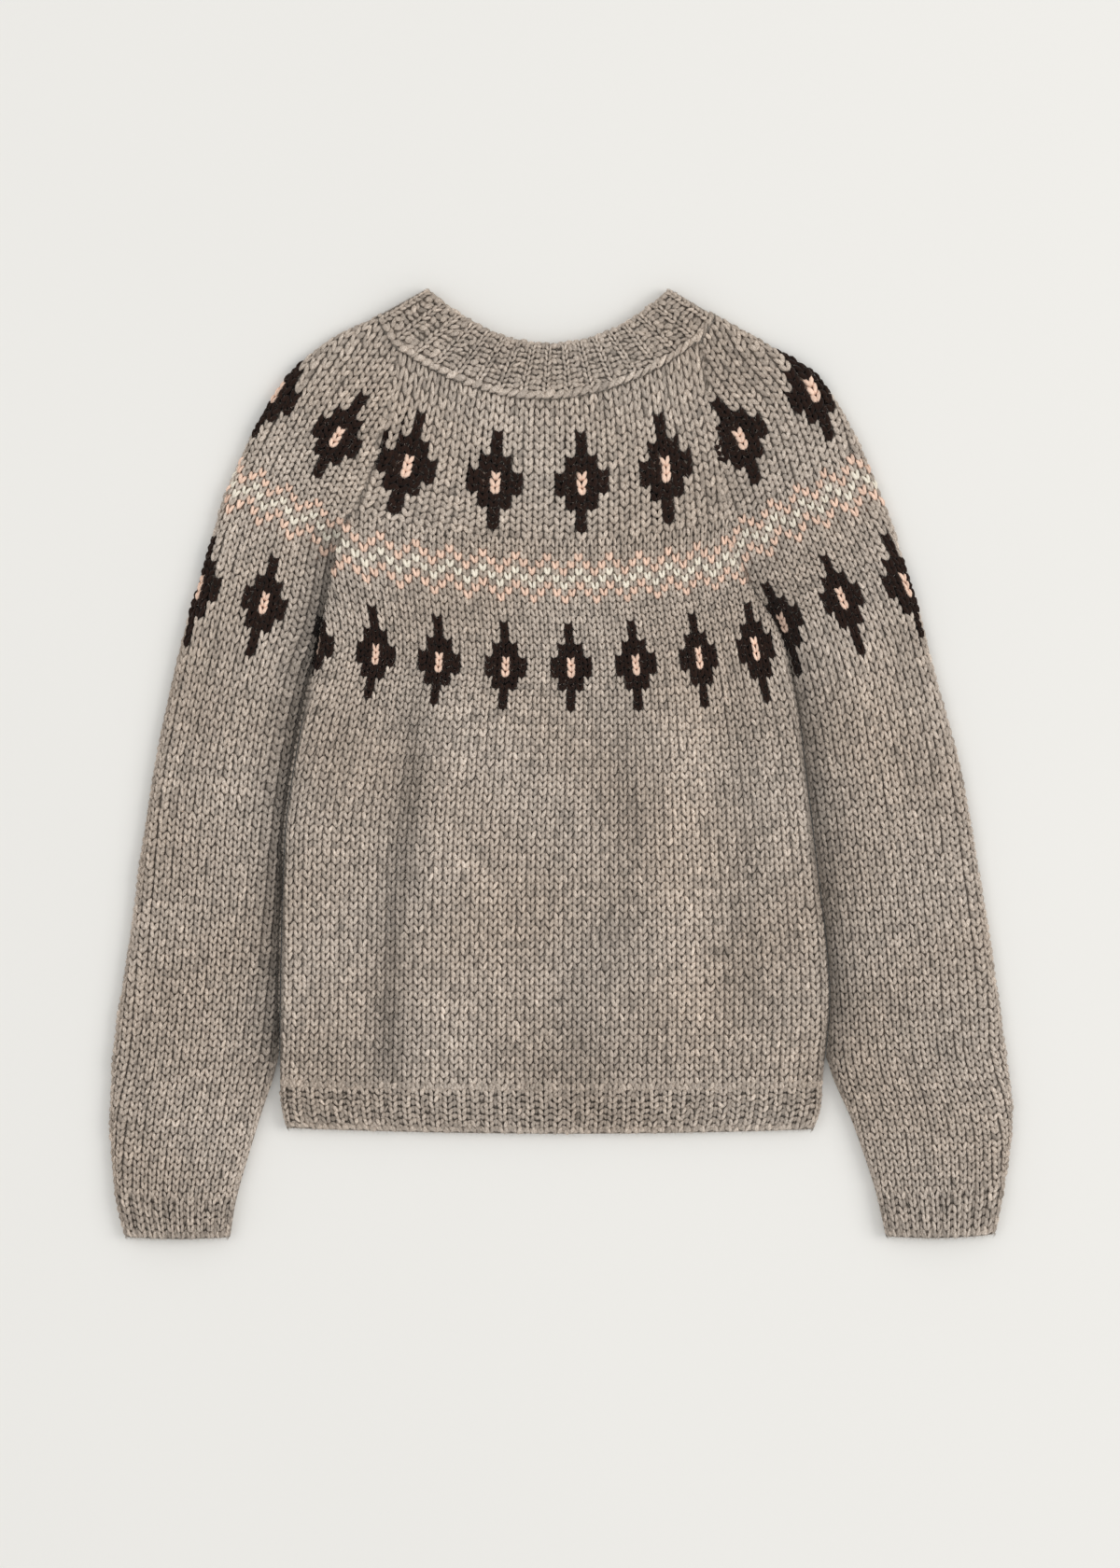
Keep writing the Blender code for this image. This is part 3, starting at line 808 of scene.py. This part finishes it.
def lay(panel, number, away, width, next_away, rng, loose, rise):
    """Vectors for a template at a distance from the middle of each course."""
    here = panel.place(number, away)
    across = panel.hand * (panel.place(number, away + width / 2) - panel.place(number, away - width / 2))
    up = panel.place(number + rise, next_away) - here
    out = unit(np.cross(across, up))
    spin = loose * rng.normal(size=width.shape)[:, None]
    size = 1 + loose * rng.normal(size=width.shape)[:, None]
    here = here + out * (2.5 * loose * rng.normal(size=width.shape)[:, None] - SINK)
    return here, across * size + spin * up * 0.4, up - spin * across * 0.4, out


def cells(panel, first, last):
    """The row and column of every stitch on a panel from one row to another."""
    rows = np.arange(first, last + 1)
    wales = np.arange(-MOST_WALES, MOST_WALES + 1)
    row, wale = (grid.ravel() for grid in np.meshgrid(rows, wales, indexing="ij"))
    number = panel.course_of(row)
    away = panel.away_of(number, wale)
    fold = panel.fold(number, 0.5 + 0.5 * np.sign(away))
    limit = panel.length(number) / 2 - SEAM_SPARE * panel.stitch_width(number) * (1 - fold)
    limit = limit + fold * UNDER_FOLD
    keep = np.abs(away) < limit
    return row[keep], wale[keep]


# The pieces


def knit_template(look, foot=0.07, lean=0.3, thick=0.235):
    """The right half of a stitch: a plump strand that leans out from a narrow foot."""

    def path(share):
        bend = share * share * (3 - 2 * share)
        return foot + lean * bend, -0.45 + 1.6 * share, look.loft * (0.1 + 0.9 * bow(share))

    return strand(path, plump_radius(look, thick, 1.4))


def halves(look, places, yarn, rng):
    """Places for both halves of each stitch, each a little uneven, and the dark yarn's plumper."""
    origin, across, up, out = (np.concatenate([part, part]) for part in places)
    mirror = np.repeat([1.0, -1.0], len(yarn))[:, None]
    dark = np.concatenate([yarn, yarn])[:, None] == 1

    def uneven(amount):
        return amount * look.loose * rng.normal(size=dark.shape)

    plump = np.where(dark, 1.1, 1.0) * (1 + uneven(1.6))
    tilt, sway, stretch = uneven(1.8), uneven(1.2), 1 + uneven(1.5)
    rise = np.where(dark, 0.35, 0.0) + uneven(4.5)
    origin = origin + out * rise + across * sway + up * uneven(1.5)
    return origin, across * mirror * plump, (up + across * tilt) * stretch, out


def purl_template(look, width, loft, thick):
    """One purl bump: a strand that arches across its column."""

    def path(share):
        return width * (share - 0.5), 0.36 + 0.3 * bow(share), loft * (0.2 + 0.8 * bow(share))

    return strand(path, plump_radius(look, thick, 1.5))


def stitch_piece(look, name, panel, first, last, slot_name, seed):
    """The stitches of a stretch of a panel, as one piece."""
    rng = np.random.default_rng(seed)
    row, wale = cells(panel, first, last)
    yarn = panel.yarn(row, wale)
    places = halves(look, knit_places(panel, row, wale, rng, look.loose), yarn, rng)
    yarn, row, wale = (np.concatenate([part, part]) for part in (yarn, row, wale))
    x, y = places[0][:, 0], places[0][:, 1]
    number = panel.course_of(row)
    # painted shade down in the creases and along the folds, and painted light along the light folds
    shade = panel.shade(number, panel.away_of(number, wale), x, y)
    colours = yarn_colours(look, yarn, row, wale, x, y, rng) * shade[:, None]
    return joined(name, knit_template(look), places, colours, "strand", slot_name, rng, look.fuzz)


def panel_columns(length, count):
    """Places across a panel, each a share of the way and the angle round the fold it lies on."""
    turns = np.radians([0.0, 22.5, 45.0, 67.5])
    roll = FOLD_HEIGHT * (1 - np.cos(turns)) / length
    start = FOLD_HEIGHT / length
    flat = start + (1 - 2 * start) * np.linspace(0.0, 1.0, count)
    share = np.concatenate([roll, flat, 1 - roll[::-1]])
    angle = np.concatenate([turns, np.full(count, np.pi / 2), turns[::-1]])
    return share, angle


def walls(panel, number, share, angle, top):
    """The outer and inner points of a panel's cloth on one course, as in the part's source."""
    x, y = panel.plan(number, share)
    before, after = (panel.plan(number, np.clip(share + step, 0, 1)) for step in (-0.01, 0.01))
    across = unit(np.stack([after[0] - before[0], after[1] - before[1]], axis=-1))
    inward = np.where(share < 0.5, 1.0, -1.0)
    steepness = panel.fold(number, share) * (1 - np.sin(angle))
    down = 1 - steepness
    sideways = inward * np.sqrt(np.maximum(1 - down * down, 0.0))
    height = panel.height(number, share, x, y) if top else 0.0 * x
    layer = 1 if top else -1
    z = height - steepness * (height - FOLD_HEIGHT)
    point = np.stack([x, y, z], axis=-1)
    into = np.stack([sideways * across[:, 0], sideways * across[:, 1], -layer * down], axis=-1)
    if not top:
        return point, point + into * UNDER_WALL
    turned = FOLD_HEIGHT * (np.pi / 2 - angle)
    length = panel.length(number)
    round_fold = -inward * (length / 2 - FOLD_HEIGHT + turned)
    away = np.where(angle < np.pi / 2, round_fold, (share - 0.5) * length)
    outer = panel.place(number, away) + into * SINK * (0.4 + 0.6 * down[:, None])
    return outer, point + into * INNER_WALL


def cloth_piece(look, name, panel, numbers, columns, sides, node, seed, shade=1.0, ribs=0):
    """A closed thin cloth on a panel's form. sides is "top", "under" or "ring", which goes round both."""
    rows = []
    for number in numbers:
        length = float(panel.length(number))
        share, angle = panel_columns(length, columns)
        width = length / ribs if ribs else float(panel.stitch_width(number))
        wales = (share - 0.5) * length / width
        row = []
        if sides != "under":
            # the top is painted darker by shade, as painted shade in the gaps between the stitches; the
            # underside is not
            row += zip(*walls(panel, number, share, angle, True), wales, [shade] * len(share))
        if sides != "top":
            under = list(zip(*walls(panel, number, share, angle, False), wales, [1.0] * len(share)))
            row += under if sides == "under" else under[-2::-1]
        rows.append(row[:-1] + row[:1] if isinstance(panel, Neck) else row)
    outer, inner, wales, painted_shades = (
        np.array([[place[part] for place in row] for row in rows]) for part in range(4)
    )
    number = np.array(numbers, float)[:, None] + 0 * wales
    yarn = 0 * wales.astype(int) if ribs else panel.yarn(np.round(number), np.round(wales))
    rng = np.random.default_rng(seed)
    tint = yarn_colours(look, yarn, number, wales, outer[..., 0], outer[..., 1], rng) * painted_shades[..., None]
    outer, inner = in_frame(outer), in_frame(inner)
    bm = bmesh.new()
    row_layer = bm.verts.layers.int.new("row")
    column_layer = bm.verts.layers.int.new("column")
    across, up = len(rows[0]) - 1, len(rows) - 1
    bmesh.ops.create_grid(bm, x_segments=across, y_segments=up, size=1)
    for vert in bm.verts:
        row, column = round((vert.co.y + 1) / 2 * up), round((vert.co.x + 1) / 2 * across)
        vert[row_layer], vert[column_layer] = row, column
        vert.co = outer[row, column]
    bmesh.ops.remove_doubles(bm, verts=bm.verts, dist=0.00001)
    made = bmesh.ops.extrude_face_region(bm, geom=bm.faces[:], use_keep_orig=True)
    deep = {vert for vert in made["geom"] if isinstance(vert, bmesh.types.BMVert)}
    for vert in deep:
        vert.co = inner[vert[row_layer], vert[column_layer]]
    bmesh.ops.recalc_face_normals(bm, faces=bm.faces)
    uv = bm.loops.layers.uv.new("stitches")
    colour = bm.verts.layers.float_color.new("yarn")
    for vert in bm.verts:
        row, column = vert[row_layer], vert[column_layer]
        vert[colour] = (*tint[row, column], 1.0)
        for loop in vert.link_loops:
            loop[uv].uv = (wales[row, column], number[row, column] + (1 if vert in deep else 0))
    for layer in ("row", "column"):
        bm.verts.layers.int.remove(bm.verts.layers.int[layer])
    mesh = bpy.data.meshes.new(name)
    bm.to_mesh(mesh)
    bm.free()
    mesh.shade_smooth()
    mesh.set_sharp_from_angle(angle=math.radians(60))
    mesh.materials.append(material("cloth"))
    piece = bpy.data.objects.new(name, mesh)
    bpy.context.scene.collection.objects.link(piece)
    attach(piece, "root")
    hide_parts(node)
    return piece


def laid(panel, numbers, sides, with_pieces):
    """Works out a cloth's area from the size that it was knitted to; the area is not used."""
    numbers = np.array(numbers, float)
    lengths = panel.length(numbers) * (2 if sides == "ring" else 1)
    x, y = panel.plan(numbers, 0.5 + 0 * numbers)
    steps = np.hypot(np.diff(x), np.diff(y))
    area = float((steps * (lengths[1:] + lengths[:-1]) / 2).sum()) * MM * MM


def colour_property(name, description, default):
    """A colour that the sidebar shows."""
    return FloatVectorProperty(name=name, description=description, subtype="COLOR", default=default)


def amount_property(name, description, default, most, least=0):
    """An amount that the sidebar shows."""
    return FloatProperty(name=name, description=description, default=default, min=least, max=most)


class JumperLook(bpy.types.PropertyGroup):
    """The wool's colours and how the knitting looks."""

    wool_colour: colour_property("Wool", "The wool's main colour", (0.588, 0.515, 0.449))
    wool_brown: colour_property("Brown blotches", "Its browner colour", (0.53, 0.45, 0.38))
    dark_colour: colour_property("Dark yarn", "The diamonds' colour", (0.021, 0.0095, 0.0062))
    peach_colour: colour_property("Peach yarn", "The light stitches", (0.95, 0.69, 0.55))
    cream_colour: colour_property("Cream yarn", "The middle zigzag", (0.95, 0.885, 0.76))
    heather: amount_property("Heather", "How much the wool's colour varies by stitch", 0.15, 1)
    plump: amount_property("Plumpness", "How thick the strands are", 1.0, 1.5, 0.5)
    loft: amount_property("Loft", "How far strands stand up, in millimetres", 1.8, 4)
    loose: amount_property("Looseness", "How uneven the stitches are", 0.024, 0.3)
    hairs: IntProperty(
        name="Loose fibres", description="How many stand out of the wool", default=30000, min=0, max=40000
    )
    fuzz: amount_property("Fuzz", "How lumpy each strand is, in millimetres", 0.13, 0.5)


class JumperStage(bpy.types.PropertyGroup):
    """The surface, the light and the camera."""

    surface_colour: colour_property("Surface", "The surface's colour", (0.872, 0.872, 0.852))
    main_light: FloatProperty(
        name="Main light", description="Power of the light at the right", default=122.0, min=0, unit="POWER"
    )
    room_light: FloatProperty(name="Room light", description="Brightness of the room", default=0.735, min=0)
    view_width: FloatProperty(
        name="View", description="Width that the picture shows", default=0.8195, min=0.1, unit="LENGTH"
    )
    view_shift: FloatProperty(
        name="View's middle", description="How far below the frame's middle", default=0.015, unit="LENGTH"
    )


FRONT = Panel()
SLEEVES = {"left": Sleeve(-1), "right": Sleeve(1)}
NECK = Neck()


class JUMPER_OT_front(bpy.types.Operator):
    """Knits the front and the back"""

    bl_idname = "jumper.front"
    bl_label = "Front and back"

    def execute(self, context):
        look = context.scene.jumper_look
        numbers = list(range(HEM_SEAM, NECK_SEAM + 1))
        stretches = (("low", -1, 25), ("middle", 26, 51), ("pattern", 52, 75), ("yoke", 76, 94))
        knitted = [
            stitch_piece(look, f"front_stitches_{name}", FRONT, first, last, "front", 11 + first)
            for name, first, last in stretches
        ]
        front = cloth_piece(look, "front_cloth", FRONT, numbers, 57, "top", "front", 1, CLOTH_PAINTED_SHADE)
        back = cloth_piece(look, "back_cloth", FRONT, numbers, 57, "under", "back", 2)
        laid(FRONT, numbers, "under", [])
        laid(FRONT, numbers, "top", knitted)
        return {"FINISHED"}


class JUMPER_OT_sleeves(bpy.types.Operator):
    """Knits both sleeves"""

    bl_idname = "jumper.sleeves"
    bl_label = "Sleeves"

    def execute(self, context):
        look = context.scene.jumper_look
        numbers = list(range(CUFF_SEAM, NECK_SEAM + 1))
        for side, panel in SLEEVES.items():
            node = f"sleeve_{side}"
            knitted = [
                stitch_piece(look, f"{node}_stitches_low", panel, CUFF_SEAM, 44, node, 31),
                stitch_piece(look, f"{node}_stitches_yoke", panel, 45, 97, node, 32),
            ]
            cloth = cloth_piece(look, f"{node}_cloth", panel, numbers, 19, "ring", node, 3, CLOTH_PAINTED_SHADE)
            laid(panel, numbers, "ring", knitted)
        return {"FINISHED"}


def edge_chain(look, name, panel, number, count, slot_name, rng, height=4.4, lift=-0.2, back=-3.6, turn=0.2):
    """A row of strands along a band's edge or seam. They are height thick, and each turns a little."""

    def spread(low, high):
        return rng.uniform(low, high, (count, 1))

    numbers = np.full(count, float(number))
    pitch = (panel.length(numbers) + 2 * FOLD_REACH) / count
    away = (np.arange(count) + 0.5 - count / 2) * pitch
    here, across, up, out = lay(panel, numbers, away, pitch, away, rng, 2 * look.loose, 0.2)
    up = unit(up) * (-1 if number < 0 else 1)
    here = here + out * (lift + rng.normal(size=(count, 1)) * 0.25)
    here = here + up * (back + rng.normal(size=(count, 1)) * 0.3)
    up = up * height * spread(0.85, 1.15)
    across = across + up * spread(0.7 * turn, 1.3 * turn)
    yarn = np.zeros(count, int)
    colours = yarn_colours(look, yarn, numbers, np.arange(count), here[:, 0], here[:, 1], rng)
    template, places = purl_template(look, 1.45, 1.6, 0.5), (here, across, up, out)
    return joined(name, template, places, colours, "strand", slot_name, rng, look.fuzz)


def rib_piece(look, name, panel, ribs, courses, slot_name, seed, widths, purls=(0.0,), tone=0.93):
    """A ribbed band: columns of knit stitches, with the purl bumps of the columns between them.

    widths are the shares of a rib that the knit stitches and the purl bumps take, and purls their places.
    """
    rng = np.random.default_rng(seed)
    first, last, count = courses
    step = (last - first) / count
    starts = first + step * np.arange(count)
    edge = first if first < 0 else last
    pieces = [edge_chain(look, f"{name}_edge", panel, edge, 2 * ribs, slot_name, rng)]
    columns = [("knit", 0.5, knit_template(look, 0.1, 0.22, 0.2), 0.7, widths[0])]
    sunk = 0.0 if len(purls) > 1 else -0.2  # single purl columns close up, and only a dark line shows
    columns += [("purl", shift, purl_template(look, 1.2, 1.7, 0.56), sunk, widths[1]) for shift in purls]
    for index, (kind, shift, template, lift, wide) in enumerate(columns):
        rib = np.arange(ribs if 0 < shift < 1 else ribs + 1)
        number, rib = (grid.ravel() for grid in np.meshgrid(starts, rib, indexing="ij"))
        part = rib + shift - ribs / 2
        pitch, next_pitch = ((panel.length(at) + 2 * FOLD_REACH) / ribs for at in (number, number + step))
        places = lay(panel, number, part * pitch, pitch * wide, part * next_pitch, rng, look.loose, step)
        here, across, up, out = places
        here = here + out * lift
        yarn = np.zeros(len(number), int)
        if kind == "knit":
            here, across, up, out = halves(look, (here, across, up, out), yarn, rng)
            yarn, number, rib = (np.concatenate([half, half]) for half in (yarn, number, rib))
        else:
            uneven, tilt, rise = (share * rng.normal(size=(len(number), 1)) for share in (0.18, 0.4, 0.35))
            here, across, up = here + out * rise, across + up * tilt, up * (1 + uneven)
        colours = yarn_colours(look, yarn, number * 2, rib * 2 + shift, here[:, 0], here[:, 1], rng)
        # painted shade: the sunk purl bumps, down between the knit columns, are painted darker by 0.85
        colours = colours * tone * (0.85 if lift < 0 else 1.0)
        places = here, across, up, out
        pieces.append(
            joined(f"{name}_{kind}_{index}", template, places, colours, "strand", slot_name, rng, look.fuzz)
        )
    return pieces


class JUMPER_OT_bands(bpy.types.Operator):
    """Knits the ribbed hem and cuffs"""

    bl_idname = "jumper.bands"
    bl_label = "Hem and cuffs"

    def execute(self, context):
        look = context.scene.jumper_look
        numbers = list(np.linspace(HEM_END, HEM_SEAM, 9))
        courses = (HEM_END + 0.3, 0.2, 8)
        knitted = rib_piece(look, "hem_rib", FRONT, HEM_RIBS, courses, "hem_rib_front", 51, (0.84, 0.44))
        front = cloth_piece(
            look, "hem_front_cloth", FRONT, numbers, 81, "top", "hem_rib_front", 4, BAND_PAINTED_SHADE, HEM_RIBS
        )
        back = cloth_piece(
            look, "hem_back_cloth", FRONT, numbers, 81, "under", "hem_rib_back", 5, ribs=HEM_RIBS
        )
        laid(FRONT, numbers, "under", [])
        laid(FRONT, numbers, "top", knitted)
        numbers = list(np.linspace(CUFF_END, CUFF_SEAM, 7))
        courses = (CUFF_END + 0.3, CUFF_SEAM + 0.2, 6)
        for side, panel in SLEEVES.items():
            node = f"cuff_{side}"
            knitted = rib_piece(look, node, panel, CUFF_RIBS, courses, node, 52, (0.92, 0.36), tone=0.88)
            cloth = cloth_piece(
                look, f"{node}_cloth", panel, numbers, 17, "ring", node, 6, BAND_PAINTED_SHADE, CUFF_RIBS
            )
            laid(panel, numbers, "ring", knitted)
        return {"FINISHED"}


class JUMPER_OT_neckband(bpy.types.Operator):
    """Knits the neckband and the chain of linking stitches at its seam"""

    bl_idname = "jumper.neckband"
    bl_label = "Neckband"

    def execute(self, context):
        look = context.scene.jumper_look
        rng = np.random.default_rng(61)
        numbers = list(np.linspace(0, NECK_END, 7))
        chain = edge_chain(
            look, "neck_linking", NECK, 0.0, 44, "neckband", rng, height=5.8, lift=1.1, back=-1.2, turn=0.5
        )
        courses = (0.1, NECK_END, NECK_COURSES)
        knitted = rib_piece(
            look, "neckband", NECK, NECK_RIBS, courses, "neckband", 62, (0.46, 0.34), (0.86, 1.14), 0.96
        )
        cloth = cloth_piece(
            look, "neckband_cloth", NECK, numbers, 61, "ring", "neckband", 7, BAND_PAINTED_SHADE, NECK_RIBS
        )
        laid(NECK, numbers, "ring", knitted + [chain])
        return {"FINISHED"}


class JUMPER_OT_fibres(bpy.types.Operator):
    """Adds loose fibres that stand out of the wool"""

    bl_idname = "jumper.fibres"
    bl_label = "Loose fibres"

    def execute(self, context):
        look = context.scene.jumper_look
        rng = np.random.default_rng(71)

        def path(share):
            return share - 0.5, 0.25 * bow(share), bow(share)

        def radius(share):
            thick = HAIR_RADIUS * max(bow(share), 0.0)
            return thick, thick

        hair = strand(path, radius, sides=3, rings=1)
        for name, panel, first, last, share in (
            ("front", FRONT, HEM_END, NECK_SEAM, 0.5),
            ("sleeve_left", SLEEVES["left"], CUFF_END, NECK_SEAM, 0.22),
            ("sleeve_right", SLEEVES["right"], CUFF_END, NECK_SEAM, 0.22),
            ("neckband", NECK, 0, NECK_END, 0.06),
        ):
            count = int(look.hairs * share)
            number = rng.uniform(first, last, count)
            ends = rng.uniform(size=count)
            number = np.where(ends < 0.04, first, np.where(ends > 0.93, last, number))
            reach = panel.length(number) / 2 + 0.4 * FOLD_HEIGHT
            spread = rng.uniform(-1, 1, count)
            spread = np.where(rng.uniform(size=count) < 0.2, np.sign(spread), spread)
            away = spread * reach
            here = panel.place(number, away)
            aside = panel.place(number, away + 1) - panel.place(number, away - 1)
            ahead = panel.place(number + 0.1, away) - here
            out = panel.hand * unit(np.cross(aside, ahead))
            turn = rng.uniform(0, 2 * np.pi, count)[:, None]
            along = unit(unit(aside) * np.cos(turn) + unit(np.cross(out, aside)) * np.sin(turn))
            across = unit(np.cross(out, along)) * rng.uniform(0.8, 2.0, (count, 1))
            long = rng.uniform(2.5, 8, count)[:, None]
            places = (here - 0.4 * out, along * long, across, out * rng.uniform(0.4, 1.6, (count, 1)))
            pale = rng.uniform(0.5, 1.25, (count, 1)) * np.array([0.62, 0.56, 0.49])
            joined(f"fibres_{name}", hair, places, pale, "hair", name, rng)
        return {"FINISHED"}


class JUMPER_OT_stage(bpy.types.Operator):
    """Sets the surface, the light and the camera"""

    bl_idname = "jumper.stage"
    bl_label = "Stage"

    def execute(self, context):
        stage = context.scene.jumper_stage
        bpy.ops.mesh.primitive_plane_add(size=8, location=(0, 0, -0.0002))
        floor = context.active_object
        floor.name = "surface"
        tree = Nodes("pale surface")
        pale = (*stage.surface_colour, 1)
        dull = (*(value * 0.97 for value in stage.surface_colour), 1)
        shown = tree.mix("MIX", tree.noise(2.0, 2.0), dull, pale)
        floor.data.materials.append(tree.finish(Base_Color=shown, Roughness=0.85))
        context.scene.view_settings.view_transform = "Standard"
        world = bpy.data.worlds.new("room")
        context.scene.world = world
        world.use_nodes = True
        background = world.node_tree.nodes["Background"]
        background.inputs["Color"].default_value = (1.0, 0.99, 0.975, 1)
        background.inputs["Strength"].default_value = stage.room_light
        for name, spot, size, share in (
            ("main light", (4.7, 0.5, 3.8), 3.4, 1.0),
            ("fill light", (-3.4, 0.9, 4.4), 3.0, 0.22),
        ):
            light = bpy.data.lights.new(name, "AREA")
            light.energy = stage.main_light * share
            light.size = size
            light.color = (1.0, 0.975, 0.94)
            lamp = bpy.data.objects.new(name, light)
            lamp.location = spot
            lamp.rotation_euler = (-Vector(spot)).to_track_quat("-Z", "Y").to_euler()
            context.scene.collection.objects.link(lamp)
        camera = bpy.data.cameras.new("camera")
        camera.lens = 85  # millimetres, a long lens that shows the jumper almost without perspective
        camera.sensor_width = 36
        rig = bpy.data.objects.new("camera", camera)
        tall = stage.view_width * PICTURE_SHAPE
        rig.location = (-0.0006, -stage.view_shift, tall * camera.lens / camera.sensor_width)
        context.scene.collection.objects.link(rig)
        context.scene.camera = rig
        return {"FINISHED"}


class JUMPER_PT_panel(bpy.types.Panel):
    """Lists the jumper's sizes, colours and pieces"""

    bl_label = "Jumper"
    bl_idname = "JUMPER_PT_panel"
    bl_space_type = "VIEW_3D"
    bl_region_type = "UI"
    bl_category = "Jumper"

    def draw(self, context):
        for group in (context.scene.jumper_look, context.scene.jumper_stage):
            column = self.layout.column()
            for name in group.bl_rna.properties.keys():
                if name not in {"rna_type", "name"}:
                    column.prop(group, name)
        for operator in OPERATORS:
            self.layout.operator(operator.bl_idname)


OPERATORS = (
    JUMPER_OT_front,
    JUMPER_OT_sleeves,
    JUMPER_OT_bands,
    JUMPER_OT_neckband,
    JUMPER_OT_fibres,
    JUMPER_OT_stage,
)
CLASSES = (JumperLook, JumperStage, *OPERATORS, JUMPER_PT_panel)


def register():
    for made in CLASSES:
        bpy.utils.register_class(made)
    bpy.types.Scene.jumper_look = PointerProperty(type=JumperLook)
    bpy.types.Scene.jumper_stage = PointerProperty(type=JumperStage)


def unregister():
    del bpy.types.Scene.jumper_stage
    del bpy.types.Scene.jumper_look
    for made in reversed(CLASSES):
        bpy.utils.unregister_class(made)


def main():
    register()
    bpy.ops.jumper.front()
    bpy.ops.jumper.sleeves()
    bpy.ops.jumper.bands()
    bpy.ops.jumper.neckband()
    bpy.ops.jumper.fibres()
    bpy.ops.jumper.stage()


if __name__ == "__main__":
    main()
